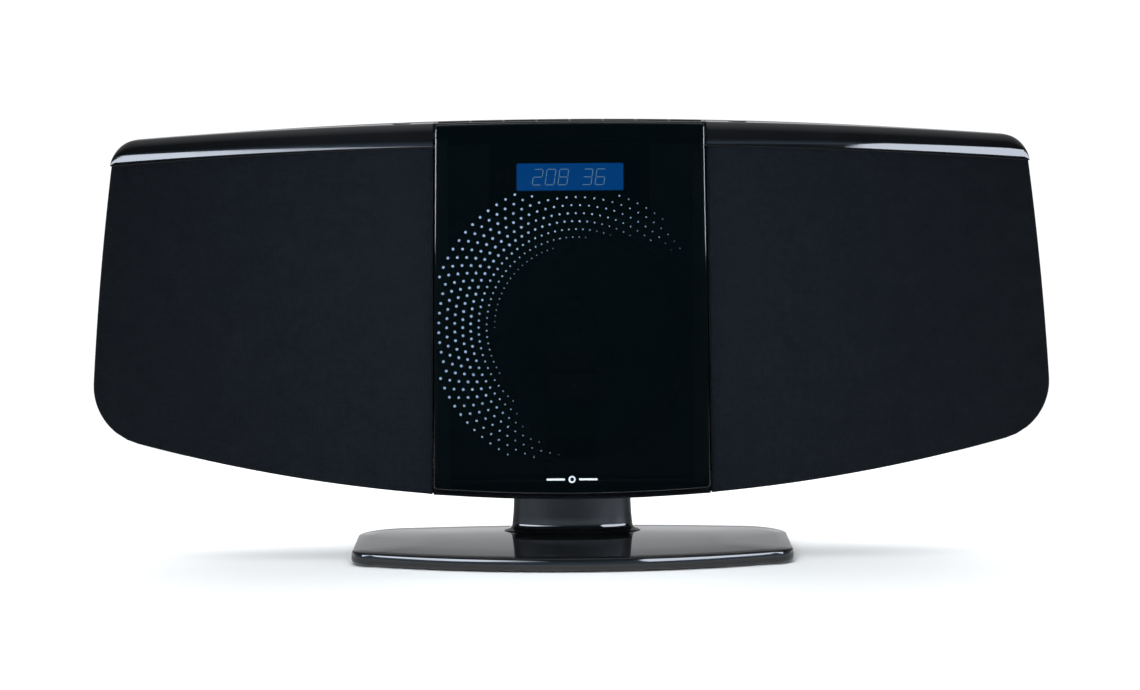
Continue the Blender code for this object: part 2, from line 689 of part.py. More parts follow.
def make_wing(name, side):
    cloth = [wing_ring(side, 0.0, 0.0), wing_ring(side, 0.0, CLOTH_T)]
    loft_object(f"{name}_grille_cloth", cloth, CLOTH_NAVY)

    front = CLOTH_T + GAP
    back = front + GRILLE_FRAME_T
    frame = loft_object(f"{name}_grille_frame", [wing_ring(side, GAP, front), wing_ring(side, GAP, back)],
                        DARK_PLASTIC)
    rim = GRILLE_FRAME_RIM
    window = loft_object(f"{name}_grille_frame_window",
                         [wing_ring(side, rim, front - WALL, rim), wing_ring(side, rim, back + WALL, rim)],
                         STEEL)
    cut(frame, window)


def cap_rings(side, xs, front_y, lip_y, low_z, plate_z, high_z):
    """A cap with a deep front lip and a thin top plate that runs back to the seam."""
    def ring(y_of, bottom):
        return [((side * x, y_of(x), bottom(x)), (side * x, y_of(x), high_z(x))) for x in xs]

    return [ring(front_y, low_z), ring(lip_y, low_z), ring(lambda x: lip_y(x) + GAP, plate_z),
            ring(lambda x: CABINET_BACK_Y, plate_z)]


def make_caps():
    xs = cap_stations()
    for name, side in SIDES:
        cap = loft_object(f"{name}_top_cap",
                          cap_rings(side, xs, lambda x: wing_y(x) - CAP_PROUD,
                                    lambda x: wing_y(x) - CAP_PROUD + CAP_LIP_T,
                                    cap_lower_z, cap_plate_z, CAP_OUTLINE.top), GLOSS_BLACK)
        cut_hole(cap, "Z", (side * SHOULDER_BUTTON_X, KEY_ROW_Y, BODY_TOP_Z - 0.010),
                 SHOULDER_BUTTON_R + KEY_PLAY, 0.02)
    middle = both_sides(stations(0.0, SEAM_HALF_TOP - GAP, 6))
    lip_front = STRIP_BACK_Y + 0.0007
    panel = loft_object("control_panel",
                        cap_rings(1, middle, lambda x: lip_front, lambda x: lip_front + 0.0017,
                                  lambda x: LIP_BOTTOM_Z, cap_plate_z, CAP_OUTLINE.top), GLOSS_BLACK)
    half_row = KEY_COUNT * KEY_PITCH / 2 + KEY_PLAY
    cut_box(panel, (-half_row, KEY_ROW_Y - KEY_DEPTH / 2 - KEY_PLAY, BODY_TOP_Z - 0.02),
            (half_row, KEY_ROW_Y + KEY_DEPTH / 2 + KEY_PLAY, BODY_TOP_Z + 0.01))


# ---------------------------------------------------------------- buttons
def make_buttons():
    half_d = KEY_DEPTH / 2
    for k in range(KEY_COUNT):
        x = (k - (KEY_COUNT - 1) / 2) * KEY_PITCH
        half_w = (KEY_PITCH - KEY_SPACE) / 2
        low, high = x - half_w, x + half_w
        round_off = 0.0006
        rings = []
        for inset, drop in ((0.0, KEY_HEIGHT), (0.0, round_off), (round_off, 0.0)):
            ring = []
            for side_x in (low + inset, x, high - inset):
                z = CAP_OUTLINE.top(side_x) + KEY_PROUD - drop
                reach = half_d - inset
                ring.append(((side_x, KEY_ROW_Y - reach, z), (side_x, KEY_ROW_Y + reach, z)))
            rings.append(ring)
        key = loft_object(f"key_{k + 1}", rings, GLOSS_BLACK)
        place_origin(key, (x, KEY_ROW_Y, CAP_OUTLINE.top(x) + KEY_PROUD))

    radius, edge = SHOULDER_BUTTON_R, 0.0004
    for name, side in SIDES:
        x = side * SHOULDER_BUTTON_X
        top = CAP_OUTLINE.top(x) + SHOULDER_BUTTON_PROUD
        profile = [(0, -KEY_HEIGHT), (radius, -KEY_HEIGHT), (radius, -edge), (radius - edge, 0), (0, 0)]
        turned_object(f"{name}_shoulder_button", profile, "Z", (x, KEY_ROW_Y, top), GLOSS_BLACK, 24)

    reach = SHOULDER_BUTTON_X + SHOULDER_BUTTON_R + 0.002
    depth = KEY_DEPTH / 2 + 0.0022
    box_object("key_board", (-reach, KEY_ROW_Y - depth, KEY_BOARD_TOP_Z - BOARD_T),
               (reach, KEY_ROW_Y + depth, KEY_BOARD_TOP_Z), BOARD_GREEN)


# ---------------------------------------------------------------- sliding door
def door_ring(y, edge=0.0, count=9):
    """The glass outline at a depth, moved in by an edge."""
    ring = []
    for k in range(count):
        share = 2 * k / (count - 1) - 1
        top_x, low_x = share * (DOOR_HALF_TOP - edge), share * (DOOR_HALF_BOTTOM - edge)
        top_z, low_z = BODY.top(top_x) - DOOR_BROW - edge, BODY.bottom(low_x) + DOOR_CHIN + edge
        ring.append(((low_x, y, low_z), (top_x, y, top_z)))
    return ring


def make_door():
    chamfer = 0.0004
    front = DOOR_BACK_Y - DOOR_T
    door_rings = [door_ring(front, chamfer), door_ring(front + chamfer), door_ring(DOOR_BACK_Y)]
    loft_object("door_glass", door_rings, SMOKED_GLASS)

    strip_front = DOOR_BACK_Y + GAP
    outer, inner = STRIP_OUTER_X, STRIP_OUTER_X - STRIP_W
    arm_low = SHAFT_Z - 0.0027
    carriage = box_object("door_carriage", (-outer, strip_front, arm_low), (-inner, STRIP_BACK_Y, ARM_TOP_Z),
                          DARK_PLASTIC)
    arm_front = strip_front + 0.5 * STRIP_T
    block_back = ROD_Y + ROD_R + BELT_FRONT_GAP - BELT_T - 2 * GAP
    overlap = 0.0001
    join_box(carriage, (-outer - overlap, arm_front, arm_low - overlap),
             (-inner + overlap, block_back, SHAFT_Z + 0.0031))
    join_box(carriage, (-outer - overlap, arm_front, ARM_TOP_Z - ARM_T),
             (-inner + overlap, FASCIA_Y + 0.004, ARM_TOP_Z + overlap))
    cut_hole(carriage, "X", (-outer - WALL, ROD_Y, SHAFT_Z), ROD_R + PLAY, STRIP_W + 2 * WALL, 16)

    trim_top = cap_lower_z(outer) - 0.003
    trim_low = BODY.bottom(outer) + DOOR_CHIN + WALL
    box_object("door_edge_trim", (inner, strip_front, trim_low), (outer, STRIP_BACK_Y, trim_top),
               DARK_PLASTIC)

    rod_half = PULLEY_X + PULLEY_R + 0.0075
    turned_object("door_guide_rod", rod_profile(ROD_R, 2 * rod_half), "X",
                  (-rod_half, ROD_Y, SHAFT_Z), STEEL, 16)

    flange = 0.0008
    low = SHAFT_Z - PULLEY_H / 2
    shaft_r, shaft_top = 0.001, PULLEY_H + 0.0035
    profile = [(0, 0), (PULLEY_R, 0), (PULLEY_R, PULLEY_H), (shaft_r, PULLEY_H), (shaft_r, shaft_top),
               (0, shaft_top)]
    turned_object("motor_pulley", profile, "Z", (-PULLEY_X, PULLEY_Y, low), DARK_PLASTIC, 24)
    turned_object("idler_pulley", profile, "Z", (PULLEY_X, PULLEY_Y, low), DARK_PLASTIC, 24)
    bore_r, bore_depth = shaft_r + GAP, 0.0035
    motor_r, motor_length = 0.0055, 0.019
    motor = [(0, bore_depth), (bore_r, bore_depth), (bore_r, 0), (motor_r, 0), (motor_r, motor_length),
             (0, motor_length)]
    turned_object("door_motor", motor, "Z", (-PULLEY_X, PULLEY_Y, low + PULLEY_H + 2 * GAP), STEEL, 24)
    make_belt(low + flange, PULLEY_H - 2 * flange)


def make_belt(low, height):
    """A flat belt: two straight runs and a half turn round each pulley."""
    bm = bmesh.new()
    loops = []
    turn = 12
    for radius in (PULLEY_R + GAP, PULLEY_R + GAP + BELT_T):
        points = []
        for side, start in ((1, -math.pi / 2), (-1, math.pi / 2)):
            for k in range(turn + 1):
                angle = start + math.pi * k / turn
                points.append((side * PULLEY_X + radius * math.cos(angle),
                               PULLEY_Y + radius * math.sin(angle)))
        loops.append([[bm.verts.new((x, y, z)) for x, y in points] for z in (low, low + height)])
    (inner_low, inner_high), (outer_low, outer_high) = loops
    count = len(inner_low)
    edges = (inner_low, inner_high, outer_high, outer_low, inner_low)
    for a, b in zip(edges, edges[1:]):
        for i in range(count):
            j = (i + 1) % count
            bm.faces.new((a[i], a[j], b[j], b[i]))
    add_object("drive_belt", bm, RUBBER_BLACK)


# ---------------------------------------------------------------- disc bay
def make_disc_well():
    cup_wall = 0.0014

    def half_at(z):
        return seam_x(z) - 0.0012

    rings = []
    for y in (FASCIA_Y, FASCIA_Y + FASCIA_T):
        rings.append([((side * half_at(FASCIA_BOTTOM_Z), y, FASCIA_BOTTOM_Z),
                       (side * half_at(FASCIA_TOP_Z), y, FASCIA_TOP_Z)) for side in (-1, 1)])
    well = loft_object("disc_well", rings, WELL_BLUE)
    join_rod(well, "Y", (0, FASCIA_Y + 0.5 * FASCIA_T, DISC_Z), WELL_R + cup_wall,
             WELL_DEPTH + 0.5 * FASCIA_T, 40)
    cut_hole(well, "Y", (0, FASCIA_Y - WALL, DISC_Z), WELL_R, WELL_DEPTH + WALL, 40)
    cut_hole(well, "Y", (0, WELL_FLOOR_Y - WALL, DISC_Z), HUB_R - 0.006, 3 * WALL, 24)
    pickup_window(well, WELL_FLOOR_Y)
    cut_box(well, (-LCD_HALF_W - GAP, FASCIA_Y - WALL, LCD_Z - LCD_HALF_H - GAP),
            (LCD_HALF_W + GAP, FASCIA_Y + 2 * FASCIA_T, LCD_Z + LCD_HALF_H + GAP))
    ir_z = LCD_Z + 0.0005
    cut_box(well, (IR_X - IR_HALF - GAP, FASCIA_Y - WALL, ir_z - IR_HALF - GAP),
            (IR_X + IR_HALF + GAP, FASCIA_Y + 2 * FASCIA_T, ir_z + IR_HALF + GAP))
    boss_x = WELL_R + 0.0047
    for side in (-1, 1):
        for z in (FASCIA_BOTTOM_Z + 0.032, FASCIA_TOP_Z - 0.0056):
            join_rod(well, "Y", (side * boss_x, FASCIA_Y + 0.5 * FASCIA_T, z), 0.0025,
                     BAFFLE_Y - GAP - FASCIA_Y - 0.5 * FASCIA_T, 12)


def pickup_window(piece, floor_y):
    """The slot that the pickup looks through, from the inner track to the rim."""
    half_w = PICKUP_HALF_W + 0.0015
    low = PICKUP_Z - PICKUP_TRAVEL - PICKUP_HALF_H - 0.0015
    high = PICKUP_Z + PICKUP_HALF_H + 0.0015
    cut_box(piece, (-half_w, floor_y - WALL, low), (half_w, floor_y + 2 * WALL, high))


def make_mechanism():
    half_w, low, high = 0.034, PICKUP_Z - PICKUP_TRAVEL - 0.012, DISC_Z + 0.022
    chassis = box_object("mech_chassis", (-half_w, CHASSIS_Y, low), (half_w, CHASSIS_BACK_Y, high), STEEL)
    cut_hole(chassis, "Y", (0, CHASSIS_Y - WALL, DISC_Z), SPINDLE_R + 0.002, 3 * WALL, 20)
    pickup_window(chassis, CHASSIS_Y)
    sled_y = CHASSIS_BACK_Y + 0.0032
    pickup_top = PICKUP_Z + PICKUP_HALF_H
    ends = ((low + 0.0005, low + 0.0035), (pickup_top + 0.0015, pickup_top + 0.0045))
    for x in (-SLED_X, SLED_X):
        for z_low, z_high in ends:
            join_box(chassis, (x - 0.003, CHASSIS_BACK_Y - 0.001, z_low), (x + 0.003, sled_y + 0.003, z_high))
    rod_low, rod_high = ends[0][0] - 0.0005, ends[1][1] + 0.0005
    for x in (-SLED_X, SLED_X):
        cut_hole(chassis, "Z", (x, sled_y, rod_low - 0.001), ROD_R + PLAY, rod_high - rod_low + 0.002, 16)
    rod = rod_profile(ROD_R, rod_high - rod_low)
    turned_object("pickup_guide_rod", rod, "Z", (SLED_X, sled_y, rod_low), STEEL, 16)
    turned_object("sled_lead_screw", rod, "Z", (-SLED_X, sled_y, rod_low), STEEL, 16)
    motor_z = rod_high + GAP
    turned_object("sled_motor", [(0, 0), (0.005, 0), (0.005, 0.013), (0, 0.013)], "Z",
                  (-SLED_X, CHASSIS_BACK_Y + GAP + 0.005, motor_z), STEEL, 20)

    hub_y = WELL_FLOOR_Y - 0.0030
    motor_y = CHASSIS_BACK_Y + GAP
    spigot_y, hub_back, spindle_end = hub_y - 0.0035, hub_y + 0.0014, motor_y + 0.004
    spin = [(0, spigot_y), (SPIGOT_R - 0.001, spigot_y), (SPIGOT_R, spigot_y + 0.0011), (SPIGOT_R, hub_y),
            (HUB_R, hub_y), (HUB_R, hub_back), (SPINDLE_R, hub_back), (SPINDLE_R, spindle_end),
            (0, spindle_end)]
    turned_object("turntable", spin, "Y", (0, 0, DISC_Z), DARK_PLASTIC, 32)
    bore = SPINDLE_R + PLAY
    motor = [(0, motor_y + 0.006), (bore, motor_y + 0.006), (bore, motor_y), (SPINDLE_MOTOR_R, motor_y),
             (SPINDLE_MOTOR_R, motor_y + 0.0085), (0, motor_y + 0.0085)]
    turned_object("spindle_motor", motor, "Y", (0, 0, DISC_Z), STEEL, 32)

    pickup = box_object("optical_pickup", (-PICKUP_HALF_W, WELL_FLOOR_Y - 0.0002, PICKUP_Z - PICKUP_HALF_H),
                        (PICKUP_HALF_W, sled_y + 0.004, PICKUP_Z + PICKUP_HALF_H), DARK_PLASTIC)
    join_box(pickup, (0, CHASSIS_BACK_Y + 0.0006, PICKUP_Z - PICKUP_HALF_H + 0.0005),
             (SLED_X + 0.0028, sled_y + 0.0035, PICKUP_Z + PICKUP_HALF_H - 0.0005))
    join_box(pickup, (-SLED_X + ROD_R + 0.0004, CHASSIS_BACK_Y + 0.0006, PICKUP_Z - 0.004),
             (0, sled_y + 0.003, PICKUP_Z + 0.004))
    cut_hole(pickup, "Z", (SLED_X, sled_y, PICKUP_Z - 0.01), ROD_R + PLAY, 0.02, 16)
    join_rod(pickup, "Y", (0, WELL_FLOOR_Y - 0.0009, PICKUP_Z), 0.0035, 0.0015, 16)


def make_display():
    bezel = box_object("display_bezel", (-BEZEL_HALF_W, FASCIA_Y - GAP - BEZEL_T, BEZEL_Z - BEZEL_HALF_H),
                       (BEZEL_HALF_W, FASCIA_Y - GAP, BEZEL_Z + BEZEL_HALF_H), GLOSS_BLACK)
    front, back = FASCIA_Y - GAP - 0.7 * BEZEL_T, FASCIA_Y + 0.003
    ir_z = LCD_Z + 0.0005
    for name, x, z, half_w, half_h, material in (
            ("lcd_panel", 0.0, LCD_Z, LCD_HALF_W, LCD_HALF_H, DISPLAY_BLUE),
            ("ir_window", IR_X, ir_z, IR_HALF, IR_HALF, IR_RED)):
        box_object(name, (x - half_w, front, z - half_h), (x + half_w, back, z + half_h), material)
        cut_box(bezel, (x - half_w - GAP, front - WALL, z - half_h - GAP),
                (x + half_w + GAP, back, z + half_h + GAP))


# ---------------------------------------------------------------- electronics
BOARD_BACK_Y = BODY_BACK_Y - 0.0325
BOARD_HALF_W = 0.066
BOARD_HALF_H = 0.058
BOARD_POST_INSET = 0.008


def board_post_places():
    half_x, half_z = BOARD_HALF_W - BOARD_POST_INSET, BOARD_HALF_H - BOARD_POST_INSET
    return [(x, z) for x in (-half_x, half_x) for z in (DISC_Z - half_z, DISC_Z + half_z)]


def socket_places():
    return [(-0.030, BODY_BOTTOM_Z + 0.026), (0.030, BODY_BOTTOM_Z + 0.026)]


def make_electronics():
    front = BOARD_BACK_Y - BOARD_T
    board = box_object("main_board", (-BOARD_HALF_W, front, DISC_Z - BOARD_HALF_H),
                       (BOARD_HALF_W, BOARD_BACK_Y, DISC_Z + BOARD_HALF_H), BOARD_GREEN)
    overlap = 0.5 * BOARD_T
    parts = ((-0.030, 0.020, 0.012, 0.012, 0.003), (0.020, 0.030, 0.018, 0.008, 0.016),
             (0.010, -0.030, 0.020, 0.012, 0.009))
    for x, z, half_w, half_h, rise in parts:
        join_box(board, (x - half_w, BOARD_BACK_Y - overlap, DISC_Z + z - half_h),
                 (x + half_w, BOARD_BACK_Y + rise, DISC_Z + z + half_h))
    for name, (x, z) in zip(("dc_jack", "aux_jack"), socket_places()):
        half = SOCKET_HALF
        hole_r = 0.0031 if name == "dc_jack" else 0.0018
        jack = box_object(name, (x - half, BODY_BACK_Y - 0.012, z - half),
                          (x + half, BODY_BACK_Y + 0.0004, z + half), DARK_PLASTIC)
        cut_hole(jack, "Y", (x, BODY_BACK_Y - 0.009, z), hole_r, 0.012, 20)
        if name == "dc_jack":
            join_rod(jack, "Y", (x, BODY_BACK_Y - 0.0095, z), 0.001, 0.008, 12)


# ---------------------------------------------------------------- loudspeakers
def make_driver(name, side):
    centre = (side * DRIVER_X, 0, DRIVER_Z)
    back = BAFFLE_Y - GAP
    front = back - FLANGE_T
    deep = back + DRIVER_DEPTH
    seat_r = CONE_R + 0.0052
    basket = [(0, back + 0.0125), (0.017, back + 0.0125), (seat_r - 0.0004, front + 0.0015), (seat_r, front),
              (FLANGE_R, front), (FLANGE_R, back), (BASKET_R, back), (MAGNET_R, deep - 0.014),
              (MAGNET_R, deep), (0, deep)]
    turned_object(f"{name}_driver_frame", basket, "Y", centre, FERRITE, 32)
    cone = [(0, front + 0.0035), (0.009, front + 0.0055), (CONE_R - 0.0003, front - 0.0001),
            (CONE_R - 0.0003, front + 0.0013), (0.0095, front + 0.0070), (0, front + 0.0070)]
    turned_object(f"{name}_driver_cone", cone, "Y", centre, CONE_PAPER, 32)
    inner, outer = CONE_R, seat_r - 0.0008
    middle = (inner + outer) / 2
    surround = [(inner, front - 0.0002), (middle, front - 0.0016), (outer, front - 0.0002),
                (outer, front + 0.0006), (middle, front - 0.0006), (inner, front + 0.0006)]
    turned_object(f"{name}_driver_surround", surround, "Y", centre, RUBBER_BLACK, 32)


def make_screws():
    tip = -SCREW_LENGTH + 0.002
    screw = [(0, tip), (SCREW_R, tip), (SCREW_R, GAP), (SCREW_HEAD_R, GAP),
             (SCREW_HEAD_R, 0.5 * SCREW_HEAD_T), (0.7 * SCREW_HEAD_R, SCREW_HEAD_T), (0, SCREW_HEAD_T)]
    places = [(side * SCREW_X, BODY_BACK_Y, z) for z in SCREW_ZS for side in (-1, 1)]
    for k, place in enumerate(places):
        turned_object(f"rear_screw_{k + 1}", screw, "Y", place, STEEL, 16)


make_base()
make_neck()
make_rear_cover()
make_front_cabinet()
make_caps()
make_buttons()
make_door()
make_disc_well()
make_mechanism()
make_display()
make_electronics()
make_screws()
for wing_name, wing_side in SIDES:
    make_wing(wing_name, wing_side)
    make_driver(wing_name, wing_side)
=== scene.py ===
"""Looks of the mini hifi system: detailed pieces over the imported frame, materials, light and camera."""
import math

import bmesh
import bpy
import numpy as np
from mathutils import Matrix, Vector


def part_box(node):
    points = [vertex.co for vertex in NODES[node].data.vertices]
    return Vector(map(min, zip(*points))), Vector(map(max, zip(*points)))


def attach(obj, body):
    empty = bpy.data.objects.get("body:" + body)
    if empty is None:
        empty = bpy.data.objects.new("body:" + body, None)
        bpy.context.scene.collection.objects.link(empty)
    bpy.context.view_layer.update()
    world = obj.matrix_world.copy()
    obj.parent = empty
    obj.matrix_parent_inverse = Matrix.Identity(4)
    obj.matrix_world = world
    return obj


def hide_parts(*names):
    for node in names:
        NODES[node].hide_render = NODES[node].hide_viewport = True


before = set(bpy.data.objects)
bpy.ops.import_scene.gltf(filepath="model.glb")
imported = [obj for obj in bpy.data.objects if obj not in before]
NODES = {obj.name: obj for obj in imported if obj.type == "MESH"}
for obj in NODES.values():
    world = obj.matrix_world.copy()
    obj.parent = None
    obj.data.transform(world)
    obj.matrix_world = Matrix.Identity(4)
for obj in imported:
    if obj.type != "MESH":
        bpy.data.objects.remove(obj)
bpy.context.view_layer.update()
SIDES = (("left", -1), ("right", 1))

# ---------------- camera
camera_data = bpy.data.cameras.new("camera")
camera = bpy.data.objects.new("camera", camera_data)
bpy.context.scene.collection.objects.link(camera)
camera_data.lens = 105.47
camera_data.sensor_width = 36.0
camera_data.clip_start = 0.05
camera.location = (0.0, -1.8234, 0.285)
camera.matrix_world = (Matrix.Translation(camera.location) @ Matrix.Rotation(math.radians(90 - 5.28), 4, "X")
                       @ Matrix.Rotation(math.radians(-0.40), 4, "Z"))
camera_data.shift_x = -0.001
bpy.context.scene.camera = camera


# ---------------- materials
def fill_in(node, values):
    for socket, value in values.items():
        node.inputs[socket].default_value = value


def link_noise(tree, coords, scale, detail=3.0, stretch=None):
    """A noise texture over object coordinates, stretched along an axis if asked."""
    noise = tree.nodes.new("ShaderNodeTexNoise")
    fill_in(noise, {"Scale": scale, "Detail": detail})
    source = coords
    if stretch:
        mapping = tree.nodes.new("ShaderNodeMapping")
        mapping.inputs["Scale"].default_value = stretch
        tree.links.new(coords, mapping.inputs["Vector"])
        source = mapping.outputs["Vector"]
    tree.links.new(source, noise.inputs["Vector"])
    return noise.outputs["Fac"]


def map_range(tree, value, from_low, from_high, to_low, to_high, smooth=False):
    node = tree.nodes.new("ShaderNodeMapRange")
    if smooth:
        node.interpolation_type = "SMOOTHSTEP"
    fill_in(node, {"From Min": from_low, "From Max": from_high, "To Min": to_low, "To Max": to_high})
    tree.links.new(value, node.inputs["Value"])
    return node.outputs["Result"]


def link_range(tree, value, low, high):
    """Spread a noise value over a range."""
    return map_range(tree, value, 0.3, 0.7, low, high)


def link_mix(tree, factor, dark, light):
    node = tree.nodes.new("ShaderNodeMix")
    node.data_type = "RGBA"
    fill_in(node, {"A": (*dark, 1.0), "B": (*light, 1.0)})
    tree.links.new(factor, node.inputs["Factor"])
    return node.outputs["Result"]


def link_bump(tree, height, strength, distance):
    node = tree.nodes.new("ShaderNodeBump")
    fill_in(node, {"Strength": strength, "Distance": distance})
    tree.links.new(height, node.inputs["Height"])
    return node.outputs["Normal"]


def link_math(tree, operation, first, second):
    node = tree.nodes.new("ShaderNodeMath")
    node.operation = operation
    tree.links.new(first, node.inputs[0])
    tree.links.new(second, node.inputs[1])
    return node.outputs[0]


def new_material(name):
    material = bpy.data.materials.new(name)
    material.use_nodes = True
    tree = material.node_tree
    shader = tree.nodes["Principled BSDF"]
    coords = tree.nodes.new("ShaderNodeTexCoord").outputs["Object"]
    return material, tree, shader, coords


def surface(name, colour, roughness, metallic=0.0, tint=0.12, mottle=60.0, spread=0.25, grain=900.0,
            bump=0.1, depth=0.0001, specular=0.5, stretch=None):
    """A moulded, painted or metal surface: mottled colour, uneven roughness and a fine grain."""
    material, tree, shader, coords = new_material(name)
    dark = [c * (1 - tint) for c in colour]
    light = [c * (1 + tint) for c in colour]
    cloud = link_noise(tree, coords, mottle, 4.0, stretch)
    fine = link_noise(tree, coords, grain, 3.0, stretch)
    tree.links.new(link_mix(tree, link_range(tree, cloud, 0.0, 1.0), dark, light), shader.inputs["Base Color"])
    low, high = roughness * (1 - spread), min(1.0, roughness * (1 + spread))
    tree.links.new(link_range(tree, link_noise(tree, coords, mottle * 2.6, 5.0, stretch), low, high),
                   shader.inputs["Roughness"])
    tree.links.new(link_bump(tree, fine, bump, depth), shader.inputs["Normal"])
    fill_in(shader, {"Metallic": metallic, "Specular IOR Level": specular})
    return material


def woven(name, colour, pitch):
    """Plain weave: two crossing thread waves, uneven dye and a soft nap."""
    material, tree, shader, coords = new_material(name)
    waves = []
    for axis in ("X", "Z"):
        wave = tree.nodes.new("ShaderNodeTexWave")
        wave.bands_direction = axis
        fill_in(wave, {"Scale": 0.314 / pitch, "Distortion": 1.2, "Detail": 2.0, "Detail Scale": 1.5})
        tree.links.new(coords, wave.inputs["Vector"])
        waves.append(wave.outputs["Fac"])
    mottle = link_noise(tree, coords, 420.0, 4.0)
    height = link_math(tree, "ADD", link_math(tree, "MULTIPLY", *waves), mottle)
    shade = link_mix(tree, link_range(tree, mottle, 0.0, 1.0), [c * 0.72 for c in colour], [c * 1.3 for c in colour])
    tree.links.new(shade, shader.inputs["Base Color"])
    tree.links.new(link_range(tree, link_noise(tree, coords, 90.0), 0.82, 0.98), shader.inputs["Roughness"])
    tree.links.new(link_bump(tree, height, 0.7, 0.00035), shader.inputs["Normal"])
    fill_in(shader, {"Specular IOR Level": 0.08, "Sheen Weight": 0.03, "Sheen Roughness": 0.5})
    return material


def glowing(name, colour, glow, strength):
    """A lit display: an even glow with a faint cell texture in the plastic over it."""
    material = surface(name, colour, 0.25, tint=0.08, mottle=300.0, grain=2500.0, bump=0.02)
    fill_in(material.node_tree.nodes["Principled BSDF"],
            {"Emission Color": (*glow, 1.0), "Emission Strength": strength})
    return material


def set_alpha(material, alpha):
    material.node_tree.nodes["Principled BSDF"].inputs["Alpha"].default_value = alpha
    return material


GLOSS = surface("piano_black", (0.0035, 0.0038, 0.0045), 0.05, tint=0.2, mottle=40.0, spread=0.4, grain=1400.0,
                bump=0.012, depth=0.00005)
KEY_GLOSS = surface("key_black", (0.006, 0.0062, 0.007), 0.12, tint=0.2, mottle=90.0, spread=0.3, bump=0.03)
PLASTIC = surface("grained_plastic", (0.013, 0.0135, 0.0155), 0.48, tint=0.18, mottle=120.0, grain=1600.0,
                  bump=0.35, depth=0.00012)
SATIN = surface("satin_black", (0.006, 0.0065, 0.0075), 0.07, tint=0.15, mottle=90.0, grain=1500.0, bump=0.05,
                specular=0.35)
SEAM_PLASTIC = surface("dark_rib", (0.030, 0.036, 0.043), 0.34, tint=0.12, mottle=160.0, grain=1500.0, bump=0.2)
WELL = surface("well_lacquer", (0.010, 0.017, 0.023), 0.30, tint=0.05, mottle=30.0, spread=0.15, grain=2200.0,
               bump=0.04, depth=0.00003)
CLOTH = woven("speaker_cloth", (0.0036, 0.0050, 0.0072), 0.00085)
GLASS = set_alpha(surface("smoked_glass", (0.0002, 0.0010, 0.0013), 0.03, tint=0.1, mottle=25.0, spread=0.3,
                          grain=600.0, bump=0.004, depth=0.00003), 0.88)
GLASS_BACK = set_alpha(surface("glass_inner_face", (0.002, 0.004, 0.005), 0.05, mottle=25.0, bump=0.004,
                               depth=0.00003), 0.06)
GLASS_EDGE = surface("glass_edge", (0.012, 0.020, 0.022), 0.10, tint=0.15, mottle=200.0, grain=1500.0, bump=0.05)
PRINT = surface("silver_print", (0.105, 0.152, 0.225), 0.4, tint=0.06, mottle=500.0, bump=0.05)
MARK = surface("mark_print", (0.62, 0.65, 0.68), 0.3, tint=0.05, mottle=500.0, bump=0.05, metallic=0.3)
NECK = surface("neck_satin", (0.070, 0.075, 0.081), 0.42, tint=0.15, mottle=70.0, grain=1500.0, bump=0.08,
               specular=0.20, stretch=(1.0, 1.0, 0.25))
RUBBER = surface("rubber", (0.018, 0.018, 0.018), 0.85, mottle=200.0, grain=1200.0, bump=0.4)
STEEL = surface("brushed_steel", (0.52, 0.52, 0.53), 0.3, metallic=1.0, tint=0.08, mottle=100.0, grain=1400.0,
                bump=0.15, stretch=(0.15, 1.0, 1.0))
SCREW = surface("black_zinc", (0.05, 0.05, 0.055), 0.35, metallic=0.9, tint=0.25, mottle=400.0, bump=0.1)
FERRITE = surface("ferrite", (0.085, 0.085, 0.09), 0.5, metallic=0.4, tint=0.15, mottle=250.0, bump=0.3)
PAPER = surface("cone_paper", (0.028, 0.028, 0.032), 0.85, tint=0.25, mottle=350.0, grain=1500.0, bump=0.5)
BOARD = surface("board_mask", (0.006, 0.032, 0.015), 0.42, tint=0.2, mottle=180.0, grain=1200.0, bump=0.15)
DISPLAY = glowing("display_cell", (0.001, 0.012, 0.05), (0.0, 0.23, 1.0), 1.45)
STROKE = glowing("display_stroke", (0.05, 0.10, 0.16), (0.35, 0.68, 1.0), 2.1)
IR = surface("ir_filter", (0.012, 0.003, 0.005), 0.08, tint=0.2, bump=0.01)
LENS = surface("lens_coating", (0.01, 0.012, 0.05), 0.03, tint=0.2, bump=0.01, specular=0.9)
SYMBOL = surface("key_symbol", (0.30, 0.31, 0.33), 0.4, tint=0.06, mottle=500.0, bump=0.05)
FLOOR = surface("studio_floor", (0.69, 0.695, 0.70), 0.85, tint=0.004, mottle=3.0, grain=80.0, bump=0.01,
                specular=0.1)

CAD_LOOKS = {"gloss_black": GLOSS, "dark_plastic": PLASTIC, "well_blue": WELL, "cloth_navy": CLOTH,
             "smoked_glass": GLASS, "neck_grey": NECK, "rubber_black": RUBBER, "steel": STEEL, "ferrite": FERRITE,
             "cone_paper": PAPER, "board_green": BOARD, "display_blue": DISPLAY, "ir_red": IR}
for node in NODES.values():
    for holder in node.material_slots:
        stem = holder.material.name.split(".")[0] if holder.material else "dark_plastic"
        holder.material = CAD_LOOKS.get(stem, PLASTIC)


# ---------------- mesh helpers
def shade(mesh, sharp):
    """Smooth shading, apart from edges sharper than an angle in degrees."""
    mesh.shade_smooth()
    mesh.set_sharp_from_angle(angle=math.radians(sharp))


def plain_object(name, bm, sharp=35):
    bmesh.ops.recalc_face_normals(bm, faces=bm.faces)
    mesh = bpy.data.meshes.new(name)
    bm.to_mesh(mesh)
    bm.free()
    shade(mesh, sharp)
    piece = bpy.data.objects.new(name, mesh)
    bpy.context.scene.collection.objects.link(piece)
    return piece


def dress(piece, body, material, stands_for=()):
    """Give a piece its material, the body it rides on and the CAD nodes that it stands for."""
    piece.data.materials.clear()
    piece.data.materials.append(material)
    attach(piece, body)
    if stands_for:
        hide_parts(*stands_for)
    return piece


